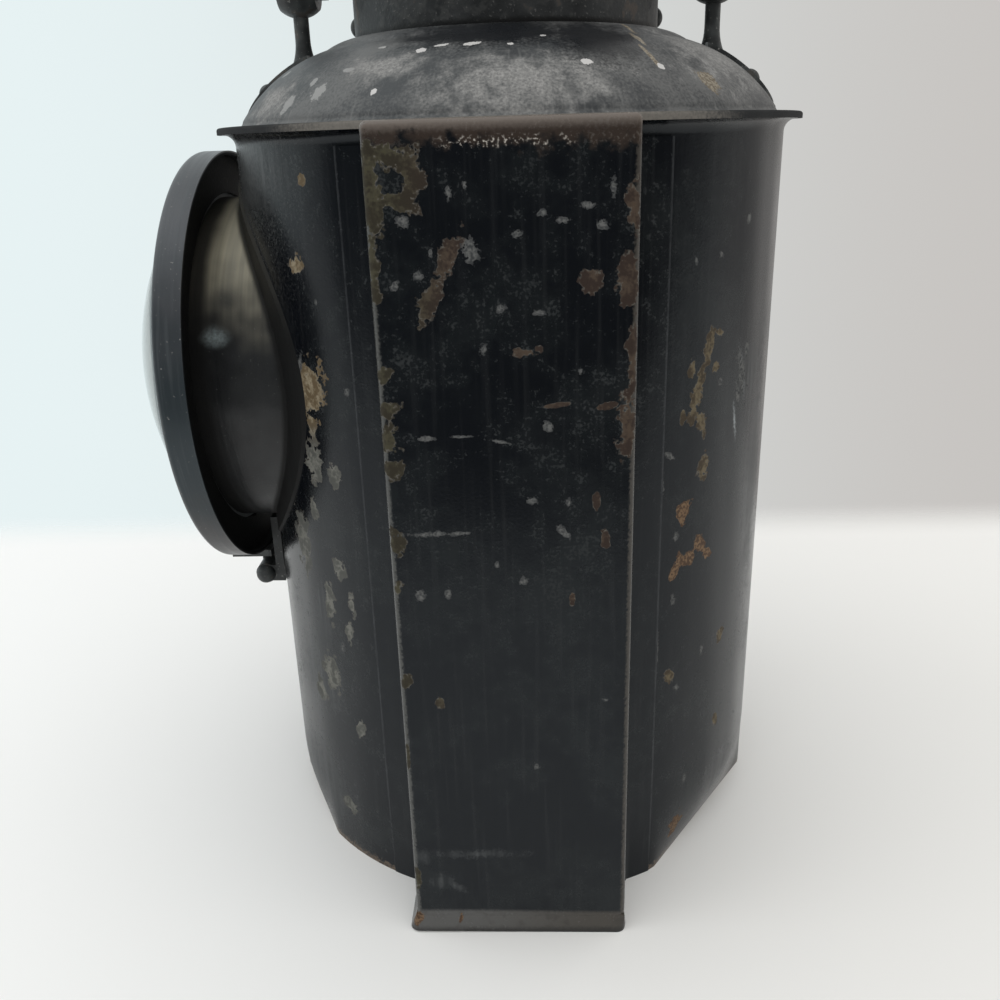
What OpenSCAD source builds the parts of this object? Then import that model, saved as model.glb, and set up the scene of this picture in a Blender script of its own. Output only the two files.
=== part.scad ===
/* [Case] */
// Outside diameter of the round case
body_d = 160; // [150:1:176]
// Height of the case wall, from the floor to the seam
body_h = 219; // [205:1:235]
// Thickness of the steel sheet of the case
sheet = 0.9; // [0.7:0.1:1.2]
// How far the seam stands out from the wall
seam_w = 4.8; // [4.2:0.1:6]
// Radius of the bend where the wall turns out into the seam
flare_r = 3.2; // [2:0.1:3.5]
// Height of the turned-up rim of the bottom plate
base_rim_h = 9; // [6:0.5:14]

/* [Dome] */
// How far the foot of the dome lies inside the wall
dome_inset = 2.7; // [2:0.1:4]
// Radius of the hollow bend between the seam and the dome
dome_fillet = 1.6; // [1:0.1:2.5]
// Height of the dome's skirt above the seam
skirt_h = 19.3; // [16:0.1:24]
// Radius of the skirt's round
skirt_r = 45.6; // [40:0.1:60]
// Width of the raised crown round the collar
crown_w = 8.8; // [6:0.1:10]
// Height of the raised crown
crown_h = 3; // [2.5:0.1:4.5]
// Radius of the crown's round
crown_r = 18; // [12:0.5:30]

/* [Lamp iron socket] */
// Width of the socket across its sides
socket_w = 60; // [52:0.5:66]
// Depth of the socket from the wall to its face, at the middle
socket_depth = 13.6; // [11:0.1:18]
// Radius of the socket's folded corners
socket_bend = 1.8; // [1.3:0.1:2.4]
// Width of the flanges that lie on the wall
socket_flange = 10; // [7:0.5:14]
// Height of the hem folded round the socket's foot
hem_h = 5.4; // [4:0.1:8]

/* [Lens] */
// Distance from the seam down to the lens axis
lens_drop = 69.5; // [66:0.5:76]
// How much smaller in radius the neck is than the lens ring that closes over it
neck_inset = 13.5; // [11.5:0.5:18.5]
// How far the neck stands out from the wall
neck_reach = 9; // [8:0.1:14]
// Width of the neck's saddle flange on the wall
saddle_w = 6; // [4:0.5:8]
// How far the inner end of the neck stands inside the wall
neck_lip = 1.5; // [1:0.1:2.5]
// Outside radius of the lens ring
ring_r = 64.5; // [62:0.5:67]
// Depth of the lens ring, front to back
ring_depth = 8.4; // [7.6:0.1:11]
// Sheet thickness of the lens ring
ring_sheet = 1.2; // [1:0.1:1.5]
// Width of the ring's front lip
lip_w = 6.5; // [5:0.1:7]
// Thickness of the lens gasket
gasket_t = 0.8; // [0.6:0.1:1.2]
// Thickness of the glass at its rim
glass_rim = 2.8; // [2.4:0.1:3.2]
// How far the glass stands out in front of the ring
glass_bulge = 22; // [16:0.5:28]
// Gap between the neck and the plate behind the glass
neck_gap = 1.2; // [0.8:0.1:2]

/* [Lens hinge] */
// Width of the lens hinge
hinge_w = 25; // [20:0.5:30]
// Outside radius of the hinge knuckles
knuckle_r = 3.5; // [3:0.1:4]
// Radius of the hinge pin
pin_r = 1.6; // [1.2:0.1:1.9]
// Distance from the bottom of the ring down to the hinge pin
hinge_drop = 7.5; // [7.1:0.1:9]
// Thickness of the hinge leaf under the ring
leaf_t = 2.4; // [1.8:0.1:2.8]
// How far the leaf's tongue reaches in front of the ring
tongue = 3; // [2:0.1:5]
// Thickness of the hinge bracket on the case
bracket_t = 2; // [1.6:0.1:2.4]

/* [Ventilator] */
// Outside radius of the collar on the dome
collar_r = 43.6; // [42:0.1:46]
// Height of the collar
collar_h = 25; // [22:0.5:32]
// Height of the dome's upstand inside the collar
upstand_h = 9; // [7:0.5:11]
// Height of the collar rivets above the foot of the collar
rivet_up = 4.2; // [3.4:0.1:5]
// Depth of the lid's skirt over the collar
lid_skirt = 6; // [5:0.1:8]
// Outside radius of the lid's stack
stack_r = 32; // [29:0.5:34]
// Height of the lid's stack
stack_h = 17; // [15:0.5:24]
// Radius of the round vent holes in the stack
vent_r = 4; // [3:0.1:4.5]
// Number of vent holes in the stack
vent_count = 10; // [6:1:12]
// Outside radius of the rain cap
cap_r = 41.5; // [39:0.5:43]
// Height of the rain cap's crown
cap_crown = 10; // [7:0.5:14]
// Width of the lid hinge
lid_hinge_w = 22; // [18:0.5:26]
// Outside radius of the lid hinge knuckles
lid_knuckle_r = 2.8; // [2.4:0.1:3]

/* [Bail] */
// Distance from the crown out to the ear stems
ear_out = 7; // [6.6:0.1:9]
// Height of the ear eyes above the seam
ear_h = 38; // [35:0.5:42]
// Radius of the ear stems
stem_r = 2.2; // [2:0.1:3]
// Radius of the round ear bosses
boss_r = 8.6; // [7:0.1:9]
// Thickness of the ear bosses along the pivot
boss_t = 11; // [9:0.5:12]
// Width of the ear's foot strap
strap_w = 14; // [12:0.5:18]
// Thickness of the ear's foot strap
strap_t = 1.6; // [1.3:0.1:3]
// How far the foot strap reaches down the dome from the stem
strap_l = 19; // [16:0.5:19.5]
// Radius of the rivet shanks
shank_r = 1.6; // [1.3:0.1:2.2]
// Radius of the bail rod
rod_r = 3; // [2.6:0.1:3.4]
// Height of the bail above its pivots
bail_h = 105; // [98:1:125]
// Radius of the bail's bends above the eyes
bail_bend = 6.5; // [5:0.5:10]

/* [Lamp] */
// Gap between the oil fount and the way out through the collar
fount_gap = 2; // [1.6:0.1:5]
// Distance from the lens axis down to the top of the burner
burner_drop = 3.5; // [2:0.5:10]
// Height of the burner above the fount
burner_h = 35; // [32:0.5:40]
// Radius of the burner's deck
burner_r = 16.5; // [15.5:0.1:17.5]
// Width of the wick
wick_w = 13; // [10:0.5:14]
// Thickness of the wick
wick_t = 2.4; // [2:0.1:2.8]
// Radius of the wick-raising wheels at the tips
wheel_r = 3.1; // [2.8:0.1:3.4]
// Teeth on each wick-raising wheel
wheel_teeth = 10; // [8:1:14]
// Radius of the wick knob
knob_r = 7; // [5:0.5:8]
// Height of the fount seat
seat_h = 14; // [10:0.5:20]
// Radius of the reflector's mouth
reflector_r = 36; // [30:0.5:40]
// Radius of the reflector's hollow
reflector_hollow = 70; // [60:1:90]
// Distance from the lamp axis to the reflector's mouth
reflector_x = 46; // [45:0.5:50]

/* [Hidden] */
$fn = 96;

black = "#24272b";
worn_black = "#303338";
iron = "#3a3b3d";
brass = "#a98a4b";
tin = "#9a9c9b";

// Clearances: a snug sheet fit, a loose fit, a turning pin, pieces that pass and faces that lie close
snug = 0.1;
loose = 0.4;
running = 0.06;
gap = 0.3;
close = 0.05;
// A cut runs this far past the face that it leaves
past = 1;
// Length of the drill through a riveted stack
drill = 20;
// Share of a hinge's width that its middle knuckle takes
middle_share = 0.4;
// How far a knuckle's web stays inside the knuckle's round, and how far it runs into the plate
web_inset = 0.6;
web_root = 0.5;

body_r = body_d / 2;
wall_in = body_r - sheet;
seam_r = body_r + seam_w;
seam_top = body_h + sheet;
seam_bottom = body_h - sheet;
lens_z = body_h - lens_drop;

dome_foot_r = body_r - dome_inset;
ledge_r = collar_r + gap;
step_r = ledge_r + crown_w;
step_z = seam_top + skirt_h;
ledge_z = step_z + crown_h;
upstand_r = collar_r - sheet - snug;
way_r = upstand_r - sheet;
// Radius of the arc that makes the hollow bend at the dome's foot
foot_arc_r = dome_fillet * 1.1;

socket_y = body_r + socket_depth;
socket_top = seam_top - gap;
// Where the channel's outline ends inside the case, as a share of the radius
channel_share = 0.6;

neck_end = body_r + neck_reach;
// How far the end of the neck enters the plate's bore
neck_entry = 0.6;
plate_back = neck_end - neck_entry;
glass_back = plate_back + ring_sheet;
gasket_back = glass_back + glass_rim;
lip_back = gasket_back + gasket_t;
ring_front = lip_back + ring_sheet;
ring_back = ring_front - ring_depth;
ring_in = ring_r - ring_sheet;
glass_r = ring_in - snug;
// Inside radius of the lip's bend
lip_bend_in = 0.6;
lip_bend = ring_sheet + lip_bend_in;
gasket_r = ring_in - lip_bend_in - snug;
lip_r = ring_r - lip_w;
// Gap between the lip's edge and the round of the glass
lip_gap = 0.7;
glass_round_r = lip_r - lip_gap;
// Outside radius of the neck that carries the lens
neck_r = ring_r - neck_inset;
neck_hole = neck_r + snug;

// How far the hinge pin lies in front of the ring's rear edge
hinge_inset = 0.5;
hinge_x = -(ring_back + hinge_inset);
hinge_z = lens_z - ring_r - hinge_drop;
knuckle_mid = hinge_w * middle_share;
// How far the leaf reaches behind the ring, and how far its web runs up into the leaf
leaf_tail = 2;
leaf_root = 0.8;
leaf_back = ring_back - leaf_tail;
bracket_front = body_r + sheet + bracket_t;

collar_top = ledge_z + collar_h;
lid_r = collar_r + loose + sheet;
lid_bottom = collar_top - lid_skirt;
lid_z = collar_top + gap + sheet;
stack_top = lid_z + stack_h;
// Gap between the lid's skirt and the knuckles, and how far the hinge pin lies below the skirt
lid_hinge_gap = 0.5;
lid_hinge_drop = 2;
lid_hinge_y = lid_r + lid_knuckle_r + lid_hinge_gap;
lid_hinge_z = lid_bottom - lid_hinge_drop;
// Thickness of the lid hinge's plates, and how far the fixed one reaches below and above its pin
lid_plate_t = 1.5;
lid_plate_down = 9;
lid_plate_up = 1.4;
lid_pin_r = 1.4;
lid_knuckle_mid = lid_hinge_w * middle_share;
// Radii of the lid's shoulder bend and of the bend at the foot of its stack
shoulder_bend = 2;
stack_bend = 1.2;
// Radius of the lifting tab, how far its round stands out from the lid, and its thickness
tab_r = 8;
tab_out = 3;
tab_t = 1.2;
// Depth of the rain cap's hem below the stack, the part of it that is straight, and the hem's round
cap_hem = 5;
cap_straight = 2.5;
cap_edge = 3.5;
cap_edge_r = 3.6;
// Width of the rain cap's seat inside the stack, and the radius of its crown
cap_seat = 3;
cap_round = 48;

ear_x = step_r + ear_out;
ear_z = seam_top + ear_h;
rod_hole = rod_r + snug;
// Play of the bail along its pivots, on each side of an ear
bail_play = 0.5;
bail_x = ear_x + boss_t / 2 + bail_play + bail_bend;
bail_top = ear_z + bail_h;
// Heads on the ends of the bail: how far they stand over the rod, and their thickness
head_over = 1;
head_r = rod_r + head_over;
head_t = 2.4;
// Where the rivet goes through the foot strap, as a share of the strap
rivet_share = 0.59;
// Radius and height of a rivet's head as shares of its shank's radius, and how far its tail stands through
rivet_head_share = 1.7;
rivet_tall_share = 1;
rivet_tail = 1;
// Flare at the foot of an ear's stem: its width, height, hollow and depth into the strap
stem_flare = 1.2;
flare_h = 6;
flare_hollow = 16;
flare_root = 0.6;
stem_root = 3;

floor_t = 1.2;
seat_t = 1;
fount_r = way_r - fount_gap;
// Width of the seat's flange and of its inner ledge
seat_flange = 6;
fount_bottom = floor_t + seat_t + gap;
burner_top = lens_z - burner_drop;
fount_top = burner_top - burner_h;
// Wall between the burner's deck and the fount's neck, the neck's height and the height of the shoulder
deck_wall = 2;
fount_neck_r = burner_r - deck_wall;
fount_neck_h = 6;
shoulder_h = 12;
shoulder_r = 30;
fount_bend = 3;
// Height of the deck above the fount, and its thickness
deck_h = 12;
deck_z = fount_top + deck_h;
deck_t = 1;
// Wall of the wick tube, its collar on the deck, and how far it dips into the fount and stays below the dome
tube_wall = 0.7;
tube_collar = 1.2;
tube_collar_t = 0.8;
tube_dip = 4;
tube_low = 8;
tube_w = wick_w + 2 * (gap + tube_wall);
tube_t = wick_t + 2 * (gap + tube_wall);
// Burner dome: its sheet, its straight foot, the step to its round, the round and the flame slot
dome_sheet = 0.7;
dome_straight = 7;
dome_step = 2;
dome_round = 18;
slot_end = 2;
slot_side = 2.25;
slot_deep = 6;
// Spindle of the wick wheels, its height above the deck, and the wheels' width, teeth and windows
spindle_r = 1.3;
spindle_up = 7;
spindle_z = deck_z + spindle_up;
spindle_x = wick_t / 2 + gap + wheel_r;
spindle_end = 1.5;
wheel_y = wick_w / 4;
wheel_w = 1.2;
tooth_h = 1.2;
tooth_w = 1;
wheel_root = 0.8;
window_side = 0.9;
// Knob: its distance from the fount's edge, thickness and milling
knob_in = 5;
knob_y = fount_r - knob_in;
knob_t = 3;
milling_r = 0.5;
milling_count = 24;
// Filler: its margin on the shoulder, its height and the cap over it
filler_margin = 4.2;
filler_x = (burner_r + fount_r) / 2;
filler_r = (fount_r - burner_r) / 2 - filler_margin;
filler_up = 7;
cap_lift = 2.2;
cap_h = 7;
cap_top = 2;
cap_wall = 1.4;
cap_rib_r = 0.5;
cap_rib_count = 20;
// Wick: its free end above the tube's collar, and its tail in the oil
wick_low = 5;
wick_tail = 30;
// Reflector: the width of its flat rim, and the stud and foot that carry it
reflector_rim = 3;
stud_r = 4;
stud_foot_r = 10;
stud_foot_t = 3.5;
reflector_deep = reflector_hollow - sqrt(reflector_hollow * reflector_hollow - reflector_r * reflector_r);

// A point on the circle of radius r at an angle
function polar(r, angle) = [r * cos(angle), r * sin(angle)];

// An arc from p to q, its round side to the right of the way, or to the left for a radius below zero
function arc(p, q, radius, steps = 8) =
    let (way = q - p, long = norm(way), side = [way.y, -way.x] / long, r = abs(radius),
        deep = sqrt(max(r * r - long * long / 4, 0)), turn = sign(radius),
        middle = (p + q) / 2 - side * deep * turn, from = atan2(p.y - middle.y, p.x - middle.x),
        sweep = 2 * asin(min(long / 2 / r, 1)) * turn)
    [for (i = [0:steps]) middle + polar(r, from + sweep * i / steps)];

// A bend of radius r at corner b, between the ways from a and on to c
function bend(a, b, c, r, steps = 5) =
    let (u = (a - b) / norm(a - b), v = (c - b) / norm(c - b), half = acos(u * v) / 2,
        back = r / tan(half), right = sign(u.x * v.y - u.y * v.x))
    arc(b + u * back, b + v * back, -right * r, steps);

// A path moved to its left by t, mitred at its corners
function left_normal(a, b) = [a.y - b.y, b.x - a.x] / norm(b - a);
function moved(path, t) =
    let (last = len(path) - 1)
    [for (i = [0:last])
        let (before = left_normal(path[max(i - 1, 0)], path[max(i, 1)]),
            after = left_normal(path[min(i, last - 1)], path[min(i + 1, last)]),
            both = before + after)
        path[i] + both * 2 * t / (both * both)];

// The closed outline of a sheet of thickness t on the left of a path
function sheet_outline(path, t) =
    let (inner = moved(path, t))
    concat(path, [for (i = [len(inner) - 1:-1:0]) [max(inner[i].x, 0), inner[i].y]]);

// A sheet spun round the upright axis
module spun(path, t) {
    rotate_extrude() polygon(sheet_outline(path, t));
}

// Turns upright work so that it points out along the lens axis
module on_lens_axis() {
    translate([0, 0, lens_z]) rotate([0, -90, 0]) children();
}

// A bar along X or Y between two coordinates
module bar_x(from, to, r) {
    translate([from, 0, 0]) rotate([0, 90, 0]) cylinder(h = to - from, r = r);
}
module bar_y(from, to, r) {
    translate([0, from, 0]) rotate([-90, 0, 0]) cylinder(h = to - from, r = r);
}

// A box between two corners
module block(low, high) {
    translate(low) cube(high - low);
}

// The skirt of the dome, from its foot up to the step
skirt_path = arc([dome_foot_r, seam_top + dome_fillet], [step_r, step_z], skirt_r, 14);
skirt_middle = let (p = skirt_path[0], q = skirt_path[14], way = q - p, long = norm(way))
    (p + q) / 2 - [way.y, -way.x] / long * sqrt(skirt_r * skirt_r - long * long / 4);
// Rise of the skirt at a radius, and its tilt there
function skirt_z(r) = skirt_middle.y + sqrt(skirt_r * skirt_r - pow(r - skirt_middle.x, 2));
function skirt_tilt(r) = asin((r - skirt_middle.x) / skirt_r);
rivet_out = ear_x + strap_l * rivet_share;
module at_ear_rivet() {
    translate([rivet_out, 0, skirt_z(rivet_out)]) rotate([0, skirt_tilt(rivet_out), 0]) children();
}

// Round wall of the case with its top turned out for the seam
module body_shell() {
    foot = [body_r, 0];
    turn = [body_r, seam_bottom];
    edge = [seam_r - sheet - snug, seam_bottom];
    color(black) difference() {
        spun(concat([foot], bend(foot, turn, edge, flare_r), [edge]), sheet);
        on_lens_axis() cylinder(h = body_r + past, r = neck_hole);
    }
}

// Bottom plate with a rim turned up inside the wall
module base_plate() {
    rim_r = wall_in - snug;
    color(worn_black) {
        cylinder(h = floor_t, r = rim_r);
        difference() {
            cylinder(h = base_rim_h, r = rim_r);
            translate([0, 0, floor_t]) cylinder(h = base_rim_h, r = rim_r - sheet);
        }
    }
}

// Flanged ring on the bottom plate that centres the fount
module fount_seat() {
    inner = fount_r + loose;
    color(tin) difference() {
        translate([0, 0, floor_t]) union() {
            cylinder(h = seat_t, r = inner + sheet + seat_flange);
            cylinder(h = seat_h, r = inner + sheet);
        }
        translate([0, 0, floor_t - past]) cylinder(h = seat_t + 2 * past, r = inner - seat_flange);
        translate([0, 0, floor_t + seat_t]) cylinder(h = seat_h, r = inner);
    }
}

// Outline of the socket's channel, seen from above, with folded corners
module channel(inset) {
    half = socket_w / 2 - inset;
    face = socket_y - inset;
    r = socket_bend - inset;
    left = [-half, -face];
    right = [half, -face];
    back = body_r * channel_share;
    polygon(concat([[-half, -back]], bend([-half, -back], left, right, r),
        bend(left, right, [half, -back], r), [[half, -back]]));
}

// Channel for the lamp iron with flanges and a hem at the foot, its closed head in front of the seam
module socket() {
    reach = socket_w / 2 + socket_flange;
    flange_top = seam_bottom - flare_r - gap;
    lid_low = socket_top - sheet;
    color(black) {
        linear_extrude(flange_top) {
            difference() {
                channel(0);
                channel(sheet);
                circle(body_r);
            }
            intersection() {
                difference() {
                    circle(body_r + sheet);
                    circle(body_r);
                    channel(sheet);
                }
                translate([-reach, -body_r - past]) square([2 * reach, body_r]);
            }
        }
        translate([0, 0, flange_top]) linear_extrude(lid_low - flange_top) difference() {
            channel(0);
            channel(sheet);
            circle(seam_r + gap);
        }
        translate([0, 0, lid_low]) linear_extrude(sheet) difference() {
            channel(0);
            circle(seam_r + gap);
        }
        linear_extrude(hem_h) difference() {
            channel(-sheet);
            channel(0);
            translate([-socket_w, -body_r - sheet]) square([2 * socket_w, body_r]);
        }
    }
}

// Tube that carries the lens ring, with a saddle flange lying on the wall
module lens_neck() {
    color(worn_black) difference() {
        union() {
            on_lens_axis() cylinder(h = neck_end, r = neck_r);
            intersection() {
                translate([0, 0, lens_z - body_r]) cylinder(h = body_d, r = body_r + sheet);
                on_lens_axis() cylinder(h = neck_end, r = neck_r + saddle_w);
            }
        }
        on_lens_axis() translate([0, 0, -past]) cylinder(h = neck_end + 2 * past, r = neck_r - sheet);
        difference() {
            translate([0, 0, lens_z - body_r]) cylinder(h = body_d, r = body_r);
            on_lens_axis() cylinder(h = neck_end, r = neck_r);
        }
        translate([0, 0, lens_z - body_r]) cylinder(h = body_d, r = wall_in - neck_lip);
    }
}

// Spun dome whose edge is turned down over the rim of the wall
module dome_top() {
    low = [seam_r, seam_bottom];
    high = [seam_r, seam_top];
    foot = [dome_foot_r + dome_fillet, seam_top];
    ledge = [ledge_r, ledge_z];
    path = concat([low, high], arc(foot, skirt_path[0], -foot_arc_r, 4),
        [for (i = [1:13]) skirt_path[i]], arc(skirt_path[14], ledge, crown_r, 5),
        [[upstand_r, ledge_z], [upstand_r, ledge_z + upstand_h]]);
    color(worn_black) difference() {
        spun(path, sheet);
        for (side = [0, 180]) rotate(side) {
            at_ear_rivet() cylinder(h = drill, r = shank_r + running, center = true);
            translate([0, 0, ledge_z + rivet_up]) bar_x(way_r - past, collar_r, shank_r + running);
        }
    }
}

// Plain tube riveted over the dome's upstand
module vent_collar() {
    color(worn_black) difference() {
        translate([0, 0, ledge_z]) cylinder(h = collar_h, r = collar_r);
        translate([0, 0, ledge_z - past]) cylinder(h = collar_h + 2 * past, r = collar_r - sheet);
        translate([0, 0, ledge_z + rivet_up]) bar_x(-body_r, body_r, shank_r + running);
    }
}

// Round-headed rivet pointing up, its head on the plane z = 0
module rivet(grip) {
    head = shank_r * rivet_head_share;
    tall = shank_r * rivet_tall_share;
    ball = (head * head + tall * tall) / (2 * tall);
    intersection() {
        translate([0, 0, tall - ball]) sphere(ball);
        cylinder(h = tall, r = head);
    }
    translate([0, 0, -grip]) cylinder(h = grip, r = shank_r);
}

// Two rivets that hold the collar
module collar_rivets() {
    color(iron) for (side = [0, 180]) rotate(side)
        translate([collar_r + snug, 0, ledge_z + rivet_up]) rotate([0, 90, 0])
            rivet(2 * sheet + rivet_tail);
}

// Forged ear: a foot strap that follows the dome, a stem and a bored boss
module ear() {
    under = moved(skirt_path, -close);
    over = moved(skirt_path, -close - strap_t);
    root_cut = moved(skirt_path, -close / 2);
    end_x = ear_x + strap_l - strap_w / 2;
    base_z = skirt_z(ear_x);
    flare = stem_r + stem_flare;
    flare_low = strap_t - flare_root;
    difference() {
        union() {
            intersection() {
                rotate_extrude() polygon(concat(under, [for (i = [len(over) - 1:-1:0]) over[i]]));
                translate([0, 0, seam_top]) linear_extrude(ear_h) {
                    translate([ear_x - stem_r, -strap_w / 2]) square([end_x - ear_x + stem_r, strap_w]);
                    translate([end_x, 0]) circle(strap_w / 2);
                }
            }
            translate([ear_x, 0, base_z]) rotate_extrude() polygon(concat(
                [[0, -stem_root], [flare, -stem_root]],
                arc([flare, flare_low], [stem_r, flare_low + flare_h], -flare_hollow, 5),
                [[stem_r, ear_z - base_z], [0, ear_z - base_z]]));
            translate([ear_x, 0, ear_z]) intersection() {
                sphere(boss_r);
                cube([boss_t, 3 * boss_r, 3 * boss_r], center = true);
            }
        }
        rotate_extrude() polygon(concat([[ledge_r, seam_top], [dome_foot_r, seam_top]], root_cut));
        translate([0, 0, ear_z]) bar_x(ear_x - boss_r, ear_x + boss_r, rod_hole);
        at_ear_rivet() cylinder(h = drill, r = shank_r + running, center = true);
    }
}

module ear_left() {
    color(iron) rotate(180) ear();
}

module ear_right() {
    color(iron) ear();
}

// Rivets through the ear straps
module ear_rivets() {
    color(iron) for (side = [0, 180]) rotate(side)
        at_ear_rivet() translate([0, 0, strap_t + gap]) rivet(strap_t + gap + sheet + rivet_tail);
}

// Spun lid over the collar with a vented stack and a lifting tab at the front
module vent_lid() {
    skirt = [lid_r, lid_bottom];
    shoulder = [lid_r, lid_z];
    root = [stack_r, lid_z];
    top = [stack_r, stack_top];
    color(worn_black) difference() {
        union() {
            spun(concat([skirt], bend(skirt, shoulder, root, shoulder_bend),
                bend(shoulder, root, top, stack_bend), [top]), sheet);
            difference() {
                translate([0, -lid_r - tab_out, lid_bottom]) cylinder(h = tab_t, r = tab_r);
                translate([0, 0, lid_bottom - past]) cylinder(h = tab_t + 2 * past, r = lid_r - sheet / 2);
            }
        }
        translate([0, 0, lid_z + stack_h / 2]) for (i = [0:vent_count - 1])
            rotate((i + 0.5) * 360 / vent_count) bar_x(stack_r - sheet - past, stack_r + past, vent_r);
    }
}

// Spun rain cap that rests on the stack
module vent_cap() {
    seat_z = stack_top + sheet;
    hem = [cap_r, stack_top - cap_hem];
    turn = hem + [0, cap_straight];
    flat = [cap_r - cap_edge, seat_z];
    inner = [stack_r - cap_seat, seat_z];
    crown = [0, seat_z + cap_crown];
    color(worn_black)
        spun(concat([hem], arc(turn, flat, cap_edge_r, 5), arc(inner, crown, cap_round, 8)), sheet);
}

// Fixed half of the lens hinge, riveted to the wall below the neck
module ring_hinge_bracket() {
    half = hinge_w / 2;
    web_r = knuckle_r - web_inset;
    color(iron) difference() {
        union() {
            block([-bracket_front, -half, hinge_z - web_r], [0, half, lens_z - neck_r - loose]);
            for (side = [-1, 1]) {
                inner = side * (knuckle_mid / 2 + gap);
                outer = side * half;
                low = min(inner, outer);
                high = max(inner, outer);
                translate([hinge_x, 0, hinge_z]) bar_y(low, high, knuckle_r);
                block([hinge_x, low, hinge_z - web_r], [-bracket_front + web_root, high, hinge_z + web_r]);
            }
        }
        cylinder(h = body_h, r = body_r + sheet + close);
        translate([hinge_x, 0, hinge_z]) bar_y(-half - past, half + past, pin_r + running);
    }
}

// Pin of the lens hinge, with a round head at each end
module ring_hinge_pin() {
    half = hinge_w / 2 + gap;
    color(iron) translate([hinge_x, 0, hinge_z]) {
        bar_y(-half - past, half + past, pin_r);
        for (side = [-1, 1]) intersection() {
            translate([0, side * half, 0]) sphere(knuckle_r - gap);
            block([-knuckle_r, side > 0 ? half : -half - knuckle_r, -knuckle_r],
                [knuckle_r, side > 0 ? half + knuckle_r : -half, knuckle_r]);
        }
    }
}

// Moving half of the lens hinge: a leaf curved to the ring, with a tongue in front
module ring_hinge_leaf() {
    half = hinge_w / 2;
    mid = knuckle_mid / 2;
    color(iron) difference() {
        union() {
            intersection() {
                on_lens_axis() translate([0, 0, leaf_back]) difference() {
                    cylinder(h = ring_front + tongue - leaf_back, r = ring_r + leaf_t);
                    translate([0, 0, -past])
                        cylinder(h = ring_depth + tongue + leaf_tail + 2 * past, r = ring_r + close);
                }
                block([-body_d, -half, 0], [0, half, lens_z - ring_r / 2]);
            }
            block([hinge_x - knuckle_r + web_inset, -mid, hinge_z],
                [-leaf_back, mid, lens_z - ring_r - leaf_root]);
            translate([hinge_x, 0, hinge_z]) bar_y(-mid, mid, knuckle_r);
        }
        translate([hinge_x, 0, hinge_z]) bar_y(-half, half, pin_r + running);
    }
}

// Lens ring with its front lip turned in
module lens_ring() {
    rear = [ring_r, ring_back];
    corner = [ring_r, ring_front];
    lip = [lip_r, ring_front];
    color(worn_black) on_lens_axis()
        spun(concat([rear], bend(rear, corner, lip, lip_bend), [lip]), ring_sheet);
}

// Gasket between the lip and the glass
module lens_gasket() {
    color("#2b2622") on_lens_axis() translate([0, 0, gasket_back]) difference() {
        cylinder(h = gasket_t, r = gasket_r);
        translate([0, 0, -past]) cylinder(h = gasket_t + 2 * past, r = lip_r);
    }
}

// Bull's-eye lens: flat behind, strongly rounded in front
module lens_glass() {
    tall = ring_front + glass_bulge - gasket_back;
    ball = (glass_round_r * glass_round_r + tall * tall) / (2 * tall);
    top = [0, gasket_back + tall];
    color("#c9d6d4") on_lens_axis() rotate_extrude() polygon(concat([[0, glass_back], [glass_r, glass_back],
        [glass_r, gasket_back]], arc([glass_round_r, gasket_back], top, ball, 14)));
}

// Plate ring behind the glass
module lens_retainer() {
    color(black) on_lens_axis() translate([0, 0, plate_back]) difference() {
        cylinder(h = ring_sheet, r = glass_r);
        translate([0, 0, -past]) cylinder(h = ring_sheet + 2 * past, r = neck_r + neck_gap);
    }
}

// Fixed half of the lid hinge on the back of the collar
module vent_hinge_bracket() {
    half = lid_hinge_w / 2;
    color(iron) difference() {
        union() {
            block([-half, 0, lid_hinge_z - lid_plate_down],
                [half, collar_r + lid_plate_t, lid_hinge_z + lid_plate_up]);
            for (side = [-1, 1]) {
                inner = side * (lid_knuckle_mid / 2 + gap);
                outer = side * half;
                low = min(inner, outer);
                high = max(inner, outer);
                translate([0, lid_hinge_y, lid_hinge_z]) bar_x(low, high, lid_knuckle_r);
                block([low, collar_r + lid_plate_t - web_root, lid_hinge_z - lid_knuckle_r + web_inset],
                    [high, lid_hinge_y, lid_hinge_z + web_inset]);
            }
        }
        cylinder(h = 2 * body_h, r = collar_r + close);
        translate([0, lid_hinge_y, lid_hinge_z]) bar_x(-half - past, half + past, lid_pin_r + running);
    }
}

// Pin of the lid hinge
module vent_hinge_pin() {
    half = lid_hinge_w / 2 + gap;
    color(iron) translate([0, lid_hinge_y, lid_hinge_z]) {
        bar_x(-half - past, half + past, lid_pin_r);
        for (side = [-1, 1]) intersection() {
            translate([side * half, 0, 0]) sphere(lid_knuckle_r - gap);
            block([side > 0 ? half : -half - lid_knuckle_r, -lid_knuckle_r, -lid_knuckle_r],
                [side > 0 ? half + lid_knuckle_r : -half, lid_knuckle_r, lid_knuckle_r]);
        }
    }
}

// Moving half of the lid hinge on the lid's skirt
module vent_hinge_leaf() {
    half = lid_hinge_w / 2;
    mid = lid_knuckle_mid / 2;
    color(iron) difference() {
        union() {
            block([-half, 0, lid_bottom + gap], [half, lid_r + lid_plate_t, lid_z - shoulder_bend]);
            block([-mid, lid_r + gap, lid_hinge_z], [mid, lid_hinge_y, lid_bottom + lid_knuckle_r]);
            translate([0, lid_hinge_y, lid_hinge_z]) bar_x(-mid, mid, lid_knuckle_r);
        }
        cylinder(h = 2 * body_h, r = lid_r + close);
        translate([0, lid_hinge_y, lid_hinge_z]) bar_x(-half, half, lid_pin_r + running);
    }
}

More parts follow.
